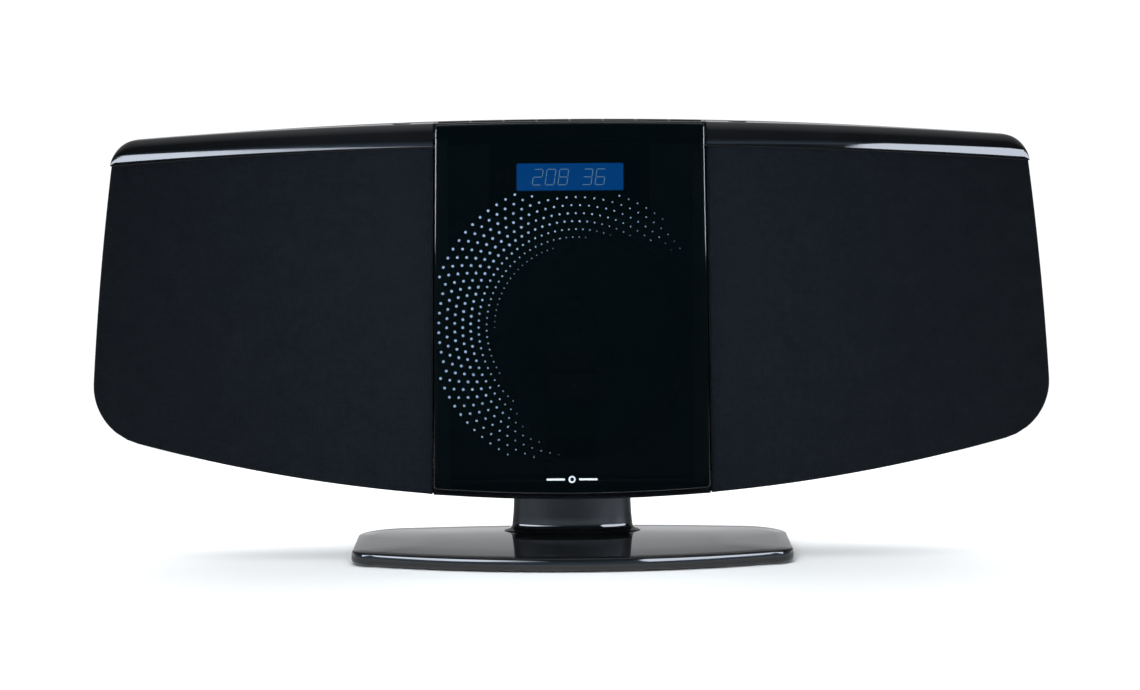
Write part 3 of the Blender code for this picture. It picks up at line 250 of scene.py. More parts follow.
def add_piece(name, bm, body, material, stands_for=(), sharp=35):
    return dress(plain_object(name, bm, sharp), body, material, stands_for)


def carve(piece, bm, sharp=35):
    """Cut a mesh out of a piece and keep only the result."""
    tool = plain_object(f"{piece.name}_tool", bm)
    modifier = piece.modifiers.new("carve", "BOOLEAN")
    modifier.operation = "DIFFERENCE"
    modifier.solver = "EXACT"
    modifier.object = tool
    bpy.context.view_layer.update()
    result = piece.evaluated_get(bpy.context.evaluated_depsgraph_get())
    mesh = bpy.data.meshes.new_from_object(result)
    piece.modifiers.clear()
    piece.data = mesh
    shade(mesh, sharp)
    bpy.data.objects.remove(tool, do_unlink=True)


def soften(piece, width):
    """Round a piece's sharper edges."""
    bevel = piece.modifiers.new("soften", "BEVEL")
    bevel.width = width
    bevel.segments = 2
    bevel.limit_method = "ANGLE"
    bevel.angle_limit = math.radians(50)
    bevel.harden_normals = True


def skin(bm, loops, close_ends=True):
    """Faces between closed loops of equal length, and across both ends if asked."""
    rows = [[bm.verts.new(point) for point in loop] for loop in loops]
    count = len(rows[0])
    for near, far in zip(rows, rows[1:]):
        for i in range(count):
            j = (i + 1) % count
            bm.faces.new((near[i], near[j], far[j], far[i]))
    if close_ends:
        bm.faces.new(rows[0])
        bm.faces.new(rows[-1][::-1])
    return rows


def middle_of(node):
    """The middle of a CAD node's box."""
    low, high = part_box(node)
    return (low + high) / 2


def skin_pairs(bm, rings, close_first=True, close_last=True):
    """Faces between rings of (bottom, top) pairs; a closed end is filled by strips."""
    loops = [[top for _, top in ring] + [bottom for bottom, _ in ring][::-1] for ring in rings]
    rows = skin(bm, loops, close_ends=False)
    count = len(rows[0])
    ends = ([rows[0]] if close_first else []) + ([rows[-1]] if close_last else [])
    for end in ends:
        for i in range(count // 2 - 1):
            bm.faces.new((end[i], end[i + 1], end[count - 2 - i], end[count - 1 - i]))


AXES = {"X": ((0, 1, 0), (0, 0, 1), (1, 0, 0)),
        "Y": ((1, 0, 0), (0, 0, 1), (0, 1, 0)),
        "Z": ((1, 0, 0), (0, 1, 0), (0, 0, 1))}


def add_turned(bm, profile, axis, centre, sides=64):
    """Revolve a profile of (radius, height) about an axis; ends at radius 0 close to a point."""
    across, up, along = (Vector(v) for v in AXES[axis])
    rows = []
    for radius, height in profile:
        base = Vector(centre) + along * height
        if radius == 0:
            rows.append([bm.verts.new(base)])
            continue
        rows.append([bm.verts.new(base + (across * math.cos(2 * math.pi * k / sides)
                                          + up * math.sin(2 * math.pi * k / sides)) * radius)
                     for k in range(sides)])
    for near, far in zip(rows, rows[1:]):
        for k in range(sides):
            n = (k + 1) % sides
            if len(near) == 1 and len(far) > 1:
                bm.faces.new((near[0], far[n], far[k]))
            elif len(far) == 1 and len(near) > 1:
                bm.faces.new((near[k], near[n], far[0]))
            elif len(near) > 1:
                bm.faces.new((near[k], near[n], far[n], far[k]))


def add_box(bm, low, high):
    centre = [(a + b) / 2 for a, b in zip(low, high)]
    size = [b - a for a, b in zip(low, high)]
    bmesh.ops.create_cube(bm, size=1.0, matrix=Matrix.Translation(centre) @ Matrix.Diagonal((*size, 1.0)))


def add_prism(bm, outline, plane, low, high):
    """A flat outline of (u, v) points given thickness along the axis that the plane leaves out."""
    def place(u, v, w):
        return (u, w, v) if plane == "XZ" else (u, v, w)

    near = [bm.verts.new(place(u, v, low)) for u, v in outline]
    far = [bm.verts.new(place(u, v, high)) for u, v in outline]
    count = len(outline)
    for i in range(count):
        j = (i + 1) % count
        bm.faces.new((near[i], near[j], far[j], far[i]))
    bm.faces.new(near[::-1])
    bm.faces.new(far)


def rounded_outline(centre, half_u, half_v, radius, steps=6):
    points = []
    for k, (su, sv) in enumerate(((1, 1), (-1, 1), (-1, -1), (1, -1))):
        for s in range(steps + 1):
            angle = math.pi / 2 * (k + s / steps)
            points.append((centre[0] + su * (half_u - radius) + radius * math.cos(angle),
                           centre[1] + sv * (half_v - radius) + radius * math.sin(angle)))
    return points


def quarter(steps):
    """Shares of a quarter turn: (1 - cos, sin) pairs from 0 to 90 degrees."""
    return [(1 - math.cos(math.pi / 2 * k / steps), math.sin(math.pi / 2 * k / steps)) for k in range(steps + 1)]


# ---------------- the body's outline, from the frame's boxes
COVER_LOW, COVER_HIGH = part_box("rear_cover")
CAP_LOW, CAP_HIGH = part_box("right_top_cap")
BODY_TOP_Z, BODY_BOTTOM_Z, BODY_HALF_WIDTH = COVER_HIGH[2], COVER_LOW[2], COVER_HIGH[0]
BODY_BACK_Y = COVER_HIGH[1]
CABINET_BACK_Y = CAP_HIGH[1]
TOP_ARC_R, BOTTOM_ARC_R, SIDE_ARC_R = 3.08, 0.943, 1.7
SIDE_TAPER, SIDE_TAPER_DROP = 0.0126, 0.0210
UPPER_CORNER_R, LOWER_CORNER_R = 0.015, 0.032
SEAM_HALF_TOP, SEAM_HALF_BOTTOM = CAP_LOW[0], 0.0761
WING_SWEEP = 0.0155
WING_FRONT_Y = -0.0234
BACK_FLAT_HALF, BACK_SWEEP = 0.082, 0.033
EDGE = 0.00004
WALL = 0.0025


def circles_meet(centre_a, radius_a, centre_b, radius_b, towards):
    ax, az = centre_a
    bx, bz = centre_b
    span = math.hypot(bx - ax, bz - az)
    along = (radius_a ** 2 - radius_b ** 2 + span ** 2) / (2 * span)
    offset = math.sqrt(max(radius_a ** 2 - along ** 2, 0))
    ux, uz = (bx - ax) / span, (bz - az) / span
    points = [(ax + ux * along + s * uz * offset, az + uz * along - s * ux * offset) for s in (1, -1)]
    return max(points, key=lambda p: p[0] * towards[0] + p[1] * towards[1])


def bearing(start, end):
    return math.atan2(end[1] - start[1], end[0] - start[0])


TOP_CENTRE = (0.0, BODY_TOP_Z - TOP_ARC_R)
BOTTOM_CENTRE = (0.0, BODY_BOTTOM_Z + BOTTOM_ARC_R)
LOWER_CENTRE = (BODY_HALF_WIDTH - LOWER_CORNER_R,
                BOTTOM_CENTRE[1] - math.sqrt((BOTTOM_ARC_R - LOWER_CORNER_R) ** 2
                                             - (BODY_HALF_WIDTH - LOWER_CORNER_R) ** 2))
SIDE_POINT = (BODY_HALF_WIDTH - SIDE_TAPER, BODY_TOP_Z - SIDE_TAPER_DROP)
SIDE_CENTRE = circles_meet(LOWER_CENTRE, SIDE_ARC_R - LOWER_CORNER_R, SIDE_POINT, SIDE_ARC_R, (-1, 0))
UPPER_CENTRE = circles_meet(TOP_CENTRE, TOP_ARC_R - UPPER_CORNER_R,
                            SIDE_CENTRE, SIDE_ARC_R - UPPER_CORNER_R, (1, 1))


class Outline:
    """The right half of the body's front outline, moved inwards by an inset."""

    def __init__(self, inset):
        def arc(centre, radius, start, end):
            return [(centre[0] + (radius - inset) * math.cos(a), centre[1] + (radius - inset) * math.sin(a))
                    for a in np.linspace(start, end, 80)]

        top_end = bearing(TOP_CENTRE, UPPER_CENTRE)
        side_start = bearing(SIDE_CENTRE, UPPER_CENTRE)
        side_end = bearing(SIDE_CENTRE, LOWER_CENTRE)
        bottom_end = bearing(BOTTOM_CENTRE, LOWER_CENTRE)
        upper = arc(TOP_CENTRE, TOP_ARC_R, math.pi / 2, top_end)
        upper += arc(UPPER_CENTRE, UPPER_CORNER_R, top_end, side_start)
        upper += arc(SIDE_CENTRE, SIDE_ARC_R, side_start, side_end)
        upper += arc(LOWER_CENTRE, LOWER_CORNER_R, side_end, 0.0)
        lower = arc(BOTTOM_CENTRE, BOTTOM_ARC_R, -math.pi / 2, bottom_end)
        lower += arc(LOWER_CENTRE, LOWER_CORNER_R, bottom_end, 0.0)
        self.upper = np.array(upper).T
        self.lower = np.array(lower).T
        self.half_width = BODY_HALF_WIDTH - inset

    def top(self, x):
        return float(np.interp(abs(x), self.upper[0], self.upper[1]))

    def bottom(self, x):
        return float(np.interp(abs(x), self.lower[0], self.lower[1]))


BODY = Outline(0.0)
CAP_OUTLINE = Outline(-0.0006)
CAP_INNER = Outline(0.003)


def wing_y(x):
    return WING_FRONT_Y + WING_SWEEP * (x / BODY_HALF_WIDTH) ** 2


def back_y(x):
    reach = max(0.0, abs(x) - BACK_FLAT_HALF) / (BODY_HALF_WIDTH - BACK_FLAT_HALF)
    return BODY_BACK_Y - BACK_SWEEP * reach ** 1.6


def seam_x(z):
    share = (BODY_TOP_Z - z) / (BODY_TOP_Z - BODY_BOTTOM_Z)
    return SEAM_HALF_TOP + (SEAM_HALF_BOTTOM - SEAM_HALF_TOP) * share


def cap_lower_z(x):
    return BODY_TOP_Z - 0.0123 - x * x / 6.0


def cap_end_x(outline):
    """Where the caps' lower line meets an outline at the wing tip."""
    inner, outer = 0.8 * BODY_HALF_WIDTH, outline.half_width
    for _ in range(40):
        middle = (inner + outer) / 2
        if outline.top(middle) > cap_lower_z(middle):
            inner = middle
        else:
            outer = middle
    return inner


CAP_END = cap_end_x(CAP_OUTLINE)


def crowd(start, end, count):
    """Places along X that crowd towards the end."""
    return [start + (end - start) * math.sin(math.pi / 2 * k / (count - 1)) for k in range(count)]


def both_sides(half):
    return [-x for x in half[:0:-1]] + half


def outline_ring(inset, y_of, count=56):
    """The whole outline as pairs, at a depth that depends on x; rings of two insets stay parallel."""
    outline = Outline(inset)
    half = crowd(0.0, outline.half_width - EDGE, count)
    return [((x, y_of(x), outline.bottom(x)), (x, y_of(x), outline.top(x))) for x in both_sides(half)]


# ---------------- stand
BASE_LOW, BASE_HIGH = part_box("base_shell")
NECK_Y = middle_of("stand_neck")[1]


def base_edge(x, inset, arc_r, corner_r):
    """Half depth of the base at x: a shallow arc with a rounded corner at the end."""
    corner_x = BASE_HIGH[0] - inset - corner_r
    reach = min(abs(x), corner_x)
    edge = BASE_HIGH[1] - inset - (arc_r - math.sqrt(arc_r ** 2 - reach ** 2))
    past = max(0.0, abs(x) - corner_x)
    return edge - (corner_r - math.sqrt(max(corner_r ** 2 - past ** 2, 0.0)))


def base_ring(inset, z, count=48):
    half = crowd(0.0, BASE_HIGH[0] - inset - EDGE, count)
    return [((x, -base_edge(x, inset, 0.27, 0.012), z), (x, base_edge(x, inset, 0.55, 0.028), z))
            for x in both_sides(half)]


def oval_loop(half_w, half_d, z, count=72):
    """A flattened oval, squarer than an ellipse, around the neck's axis."""
    loop = []
    for k in range(count):
        angle = 2 * math.pi * k / count
        depth = math.copysign(half_d * abs(math.sin(angle)) ** 0.7, math.sin(angle))
        loop.append((-half_w * math.cos(angle), NECK_Y + depth, z))
    return loop


def make_stand():
    top_z = BASE_HIGH[2]
    radius, lean, lean_drop = 0.0011, 0.00032, 0.0034
    rings = [base_ring(0.0030, BASE_LOW[2]), base_ring(0.0022, BASE_LOW[2] + 0.0001)]
    rings += [base_ring(0.0022 * (1 - up), BASE_LOW[2] + 0.0001 + 0.0022 * out) for out, up in quarter(5)[1:]]
    rings.append(base_ring(0.0, top_z - lean_drop))
    rings += [base_ring(lean + radius * out, top_z - radius + radius * up) for out, up in quarter(6)]
    rings += [base_ring(inset, top_z + rise)
              for inset, rise in ((0.008, 0.00014), (0.020, 0.00034), (0.034, 0.00048))]
    bm = bmesh.new()
    skin_pairs(bm, rings)
    add_piece("base_top", bm, "cabinet", GLOSS, ["base_shell"], 40)

    half_w, half_d = 0.0328, 0.0116
    foot = ((0.0058, -0.0002), (0.0055, 0.0006), (0.0044, 0.0010), (0.0028, 0.0015), (0.0017, 0.0023),
            (0.0012, 0.0034), (0.0010, 0.0050))
    bm = bmesh.new()
    loops = [oval_loop(half_w + out, half_d + 0.55 * out, top_z + rise) for out, rise in foot]
    skin(bm, loops + [oval_loop(half_w - 0.001, half_d - 0.001, top_z + 0.0050)])
    add_piece("neck_foot_ring", bm, "cabinet", GLOSS, ["stand_neck"], 50)
    column = ((0.0008, 0.0048), (0.0009, 0.0051), (0.0008, 0.0056), (0.0004, 0.0100), (0.0001, 0.0160),
              (0.0, 0.0200), (0.0, BODY_BOTTOM_Z - top_z - 0.0003))
    bm = bmesh.new()
    skin(bm, [oval_loop(half_w + out, half_d + out, top_z + rise) for out, rise in column])
    add_piece("neck_column", bm, "cabinet", NECK, ["stand_neck"], 40)


# ---------------- casings
def make_rear_cover():
    radius = 0.0066
    rings = [(radius * (1 - up), radius * 1.15 * out) for out, up in quarter(7)]
    seam_y = CABINET_BACK_Y + 0.0003
    outer = [outline_ring(inset, lambda x, f=fall: back_y(x) - f) for inset, fall in rings]
    outer.insert(0, outline_ring(radius + 0.012, back_y))
    outer.append(outline_ring(0.0, lambda x: seam_y + 0.0004))
    outer.append(outline_ring(0.0003, lambda x: seam_y))
    inner = [outline_ring(WALL, lambda x: seam_y), outline_ring(WALL, lambda x: back_y(x) - radius * 1.15 - WALL),
             outline_ring(radius + WALL, lambda x: back_y(x) - WALL)]
    bm = bmesh.new()
    skin_pairs(bm, outer + inner)
    cover = plain_object("rear_shell", bm, 30)

    tools = bmesh.new()
    through = (BODY_BACK_Y - 2 * WALL, BODY_BACK_Y + WALL)
    for row in range(9):
        z = BODY_TOP_Z - 0.060 - 0.0062 * row
        for x in (-0.0265, 0.0265):
            add_prism(tools, rounded_outline((x, z), 0.0215, 0.0012, 0.0011), "XZ", *through)
    for jack in ("dc_jack", "aux_jack"):
        low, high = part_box(jack)
        centre = middle_of(jack)
        half = (high[0] - low[0]) / 2 + 0.0003
        add_prism(tools, rounded_outline((centre[0], centre[2]), half, half, 0.0008), "XZ", *through)
    carve(cover, tools, sharp=30)
    dress(cover, "cabinet", PLASTIC, ["rear_cover"])
    soften(cover, 0.00035)


def make_front_shell():
    """The side and bottom band between the cloths and the rear cover, and the chin under the glass."""
    def front(x):
        return wing_y(x) + 0.0053

    def chin(x):
        return WING_FRONT_Y if abs(x) < SEAM_HALF_BOTTOM - 0.0006 else front(x)

    def band(inset, y_low, y_top, count=60):
        outline = Outline(inset)
        half = crowd(0.0, outline.half_width - EDGE, count)
        half = sorted(half + [SEAM_HALF_BOTTOM - 0.0007, SEAM_HALF_BOTTOM - 0.0005])
        return [((x, y_low(x), outline.bottom(x)),
                 (x, y_top(x), min(outline.top(x), max(cap_lower_z(x) - 0.0004, outline.bottom(x) + 0.0001))))
                for x in both_sides(half)]

    back = CABINET_BACK_Y
    rings = [band(0.0009, lambda x: chin(x) + 0.0006, lambda x: front(x) + 0.0006), band(0.0006, chin, front),
             band(0.00015, lambda x: chin(x) + 0.00015, lambda x: front(x) + 0.00015),
             band(0.0, lambda x: chin(x) + 0.0006, lambda x: front(x) + 0.0006),
             band(0.0, lambda x: back - 0.0004, lambda x: back - 0.0004),
             band(0.0004, lambda x: back, lambda x: back)]
    bm = bmesh.new()
    skin_pairs(bm, rings, close_first=False, close_last=False)
    add_piece("front_shell", bm, "cabinet", SATIN)


# ---------------- wings
def cloth_ring(side, inset, offset, count=44):
    outline = Outline(inset)
    turn = cap_end_x(outline)
    xs = [SEAM_HALF_TOP + inset + (turn - SEAM_HALF_TOP - inset) * k / 30 for k in range(30)]
    xs += crowd(turn, outline.half_width - EDGE, count)
    ring = []
    for k, x in enumerate(xs):
        low = outline.bottom(x)
        high = min(outline.top(x), cap_lower_z(x) - 0.00005)
        low_x = seam_x(low) + inset if k == 0 else x
        ring.append(((side * low_x, wing_y(low_x) + offset, low), (side * x, wing_y(x) + offset, high)))
    return ring


def make_cloth(name, side):
    radius = 0.0012
    rings = [cloth_ring(side, radius + 0.004, 0.0), cloth_ring(side, radius + 0.0006, 0.0)]
    rings += [cloth_ring(side, radius * (1 - up), radius * out) for out, up in quarter(4)]
    rings.append(cloth_ring(side, 0.0, 0.0049))
    bm = bmesh.new()
    skin_pairs(bm, rings, close_last=False)
    cloth = add_piece(f"{name}_speaker_cloth", bm, "cabinet", CLOTH, [f"{name}_grille_cloth"], 50)


def cap_profile(x):
    """The cap's cross-section at x as a closed loop of (y, z), from the back of the lip round the front."""
    low, high = cap_lower_z(x), CAP_OUTLINE.top(x)
    height = max(high - low, 0.00012)
    front = wing_y(x) - 0.0012
    edge = min(0.0003, 0.2 * height)
    reach = min(0.0052, 0.75 * height)
    share = (x - SEAM_HALF_TOP) / (CAP_END - SEAM_HALF_TOP)
    shoulder = low + min(0.0013 + 0.0042 * share, 0.7 * height)
    plate = min(max(low + 0.15 * height, CAP_INNER.top(x)), high - 0.5 * min(0.0006, 0.5 * height))
    points = [(front + 0.0045, low), (front + edge, low)]
    points += [(front + edge * (1 - up), low + edge * out) for out, up in quarter(4)[1:]]
    points.append((front, low + edge + 0.4 * (shoulder - low - edge)))
    points += [(front + reach * out, shoulder + (high - shoulder) * up) for out, up in quarter(14)]
    points.append((front + reach + 0.3 * (CABINET_BACK_Y - front - reach), high))
    points.append((CABINET_BACK_Y - 0.0003, high))
    points.append((CABINET_BACK_Y, high - min(0.0003, 0.2 * height)))
    points.append((CABINET_BACK_Y, plate))
    points.append((front + 0.0048, plate))
    return points


def make_cap(name, side):
    xs = [SEAM_HALF_TOP, SEAM_HALF_TOP + 0.0002] + crowd(SEAM_HALF_TOP + 0.0006, CAP_END - 0.0002, 90)
    bm = bmesh.new()
    skin(bm, [[(side * x, y, z) for y, z in cap_profile(x)] for x in xs])
    cap = plain_object(f"{name}_cap", bm, 40)
    button_low, button_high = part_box(f"{name}_shoulder_button")
    button_x, button_y, _ = middle_of(f"{name}_shoulder_button")
    radius = (button_high[0] - button_low[0]) / 2
    tool = bmesh.new()
    add_turned(tool, [(0, 0), (radius + 0.0003, 0), (radius + 0.0003, 0.04), (0, 0.04)], "Z",
               (button_x, button_y, BODY_TOP_Z - 0.02), 56)
    carve(cap, tool, sharp=40)
    dress(cap, "cabinet", GLOSS, [f"{name}_top_cap"])

    bm = bmesh.new()
    edge = 0.0005
    depth = button_high[2] - button_low[2]
    profile = [(0, -depth), (radius, -depth), (radius, -edge)]
    profile += [(radius - edge * (1 - math.cos(a)), -edge + edge * math.sin(a))
                for a in np.linspace(0.3, math.pi / 2, 5)]
    profile += [(0.6 * radius, -0.00012), (0, -0.0002)]
    add_turned(bm, profile, "Z", (button_x, button_y, button_high[2]), 56)
    add_piece(f"{name}_round_button", bm, f"{name}_shoulder_button", KEY_GLOSS,
              [f"{name}_shoulder_button"], 45)


# ---------------- top deck
def make_deck():
    low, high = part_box("control_panel")
    xs = both_sides(crowd(0.0, high[0], 24))
    key_low, key_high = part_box("key_1")
    row_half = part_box("key_8")[1][0]
    bottom, lip_back = low[2], low[1] + 0.0017
    loops = []
    for x in xs:
        top = CAP_OUTLINE.top(x)
        plate = max(cap_lower_z(x) + 0.0005, CAP_INNER.top(x))
        loops.append([(x, low[1], bottom), (x, low[1], top - 0.0008), (x, low[1] + 0.00025, top - 0.00025),
                      (x, low[1] + 0.0008, top), (x, high[1] - 0.0003, top), (x, high[1], top - 0.0003),
                      (x, high[1], plate), (x, lip_back, plate), (x, lip_back, bottom)])
    bm = bmesh.new()
    skin(bm, loops)
    panel = plain_object("deck_panel", bm, 30)
    tool = bmesh.new()
    opening = rounded_outline((0.0, (key_low[1] + key_high[1]) / 2), row_half + 0.0003,
                              (key_high[1] - key_low[1]) / 2 + 0.0003, 0.0009)
    add_prism(tool, opening, "XY", BODY_TOP_Z - 0.02, BODY_TOP_Z + 0.01)
    carve(panel, tool, sharp=30)
    dress(panel, "cabinet", GLOSS, ["control_panel"])
    for k in range(8):
        make_key(k + 1)


def symbol_outlines(k):
    """Plain transport symbols, in units of their half size."""
    bar = [(-0.18, -1), (0.18, -1), (0.18, 1), (-0.18, 1)]

    def moved(points, du, dv=0.0, scale=1.0):
        return [(u * scale + du, v * scale + dv) for u, v in points]

    right = [(-0.8, -0.9), (0.8, 0.0), (-0.8, 0.9)]
    left = [(-u, v) for u, v in right[::-1]]
    up = [(-0.9, -0.2), (0.9, -0.2), (0.0, 0.9)]
    flat = [(-0.9, -0.16), (0.9, -0.16), (0.9, 0.16), (-0.9, 0.16)]
    table = {
        1: [rounded_outline((0, 0), 0.55, 0.55, 0.54)],
        2: [up, moved(flat, 0, -0.7)],
        3: [moved(left, 0.35, 0, 0.8), moved(bar, -0.75, 0, 0.8)],
        4: [right],
        5: [moved(bar, -0.45), moved(bar, 0.45)],
        6: [[(-0.75, -0.75), (0.75, -0.75), (0.75, 0.75), (-0.75, 0.75)]],
        7: [moved(right, -0.35, 0, 0.8), moved(bar, 0.75, 0, 0.8)],
        8: [flat, [(-0.16, 0.18), (0.16, 0.18), (0.16, 0.9), (-0.16, 0.9)],
            [(-0.16, -0.9), (0.16, -0.9), (0.16, -0.18), (-0.16, -0.18)]],
    }
    return table[k]


def make_key(k):
    low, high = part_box(f"key_{k}")
    middle = middle_of(f"key_{k}")
    edge = 0.0006
    loops = []
    for inset, drop in [(0.0, high[2] - low[2])] + [(edge * out, edge - edge * up) for out, up in quarter(5)]:
        outline = rounded_outline((middle[0], middle[1]), (high[0] - low[0]) / 2 - inset,
                                  (high[1] - low[1]) / 2 - inset, 0.0008 - 0.5 * inset)
        top = high[2] - CAP_OUTLINE.top(low[0] if middle[0] > 0 else high[0])
        loops.append([(u, v, CAP_OUTLINE.top(u) + top - drop) for u, v in outline])
    bm = bmesh.new()
    skin(bm, loops)
    add_piece(f"deck_key_{k}", bm, f"key_{k}", KEY_GLOSS, [f"key_{k}"], 45)
    bm = bmesh.new()
    face = CAP_OUTLINE.top(middle[0]) + top
    size = 0.00125
    for points in symbol_outlines(k):
        add_prism(bm, [(middle[0] + u * size, middle[1] + v * size) for u, v in points], "XY", face - 0.0002,
                  face + 0.00006)
    add_piece(f"key_symbol_{k}", bm, f"key_{k}", SYMBOL)


# ---------------- sliding door
GLASS_LOW, GLASS_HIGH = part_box("door_glass")
PRINT_FRONT, PRINT_BACK = GLASS_LOW[1] - 0.00002, GLASS_LOW[1] + 0.0001


def door_loop(y, inset):
    """The glass outline at a depth: straight leaning sides, arched top and bottom, tiny round corners."""
    half_top, half_low = 0.0723 - inset, GLASS_HIGH[0] - inset

    def edge_top(x):
        return BODY.top(x) - 0.0001 - inset

    def edge_low(x):
        return BODY.bottom(x) + 0.0035 + inset

    def side_at(z):
        share = (edge_top(half_top) - z) / (edge_top(half_top) - edge_low(half_low))
        return half_top + (half_low - half_top) * share

    radius = max(0.0018 - inset, 0.0004)
    turns = quarter(5)
    right = [(x, edge_top(x)) for x in np.linspace(0.0, half_top - radius, 12)]
    for drop, go in turns[1:]:
        x = half_top - radius + radius * go
        right.append((x, edge_top(x) - radius * drop))
    sides = np.linspace(edge_top(half_top) - 1.8 * radius, edge_low(half_low) + 1.8 * radius, 10)
    right += [(side_at(z), z) for z in sides]
    for drop, go in turns[:0:-1]:
        x = half_low - radius + radius * go
        right.append((x, edge_low(x) + radius * drop))
    right += [(x, edge_low(x)) for x in np.linspace(half_low - radius, 0.0, 12)]
    left = [(-x, z) for x, z in right[-2:0:-1]]
    return [(x, y, z) for x, z in right + left]


def make_glass():
    front, back = GLASS_LOW[1], GLASS_HIGH[1]
    edge = 0.0007
    loops = [door_loop(front, 0.0030), door_loop(front, edge + 0.0002)]
    loops += [door_loop(front + edge * out, edge * (1 - up)) for out, up in quarter(4)]
    loops += [door_loop(back - edge * (1 - up), edge * out) for out, up in quarter(3)]
    bm = bmesh.new()
    skin(bm, loops)
    glass = add_piece("smoked_door", bm, "door", GLASS, ["door_glass"], 50)
    glass.data.materials.append(GLASS_BACK)
    glass.data.materials.append(GLASS_EDGE)
    for face in glass.data.polygons:
        if face.center[1] > back - 0.00001:
            face.material_index = 1
        elif abs(face.normal[1]) < 0.35:
            face.material_index = 2


def make_dots():
    """A plain halftone crescent on the glass: staggered rings of dots that shrink inwards and towards the tips."""
    centre_x, centre_z = 0.003, 0.129
    first, last = 33, 262
    outer = ((first, 70), (45, 73), (57, 75), (90, 78), (115, 81), (235, 81), (245, 77), (last, 71))
    inner = ((first, 68), (50, 59.5), (65, 54.5), (90, 45), (150, 43), (190, 45), (229, 51), (240, 60),
             (last, 68.5))
    pitch, per_turn = 4.3, 88
    lcd_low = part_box("lcd_panel")[0]
    bm = bmesh.new()
    for ring in range(10):
        radius = 44.2 + pitch * ring
        for k in range(per_turn):
            angle = 360.0 * (k + 0.5 * (ring % 2)) / per_turn
            if not first <= angle <= last:
                continue
            r_in = np.interp(angle, *zip(*inner))
            r_out = np.interp(angle, *zip(*outer))
            if not r_in - 0.3 <= radius <= r_out + 0.3:
                continue
            x = centre_x + 0.001 * radius * math.cos(math.radians(angle))
            z = centre_z + 0.001 * radius * math.sin(math.radians(angle))
            if x < -0.0715 or (z > lcd_low[2] - 0.0015 and x > lcd_low[0] - 0.0015):
                continue
            depth_share = (radius - r_in) / max(r_out - r_in, 1.0)
            tip_share = min(1.0, (angle - first) / 95, (last - angle) / 50)
            size = 0.00020 + 0.00054 * min(1.0, 0.15 + 2.4 * depth_share) * max(0.03, tip_share) ** 0.9
            add_turned(bm, [(0, PRINT_FRONT), (size, PRINT_FRONT), (size, PRINT_BACK)], "Y", (x, 0, z), 14)
    add_piece("door_dots", bm, "door", PRINT)

    bm = bmesh.new()
    mark_z = 0.0461
    for x in (-0.0088, 0.0088):
        add_prism(bm, rounded_outline((x, mark_z), 0.0050, 0.00055, 0.0005), "XZ", PRINT_FRONT, PRINT_BACK)
    inner_r, outer_r = 0.0011, 0.0019
    add_turned(bm, [(inner_r, PRINT_FRONT), (outer_r, PRINT_FRONT), (outer_r, PRINT_BACK), (inner_r, PRINT_BACK),
                    (inner_r, PRINT_FRONT)], "Y", (0, 0, mark_z), 28)
    add_piece("plain_mark", bm, "door", MARK)


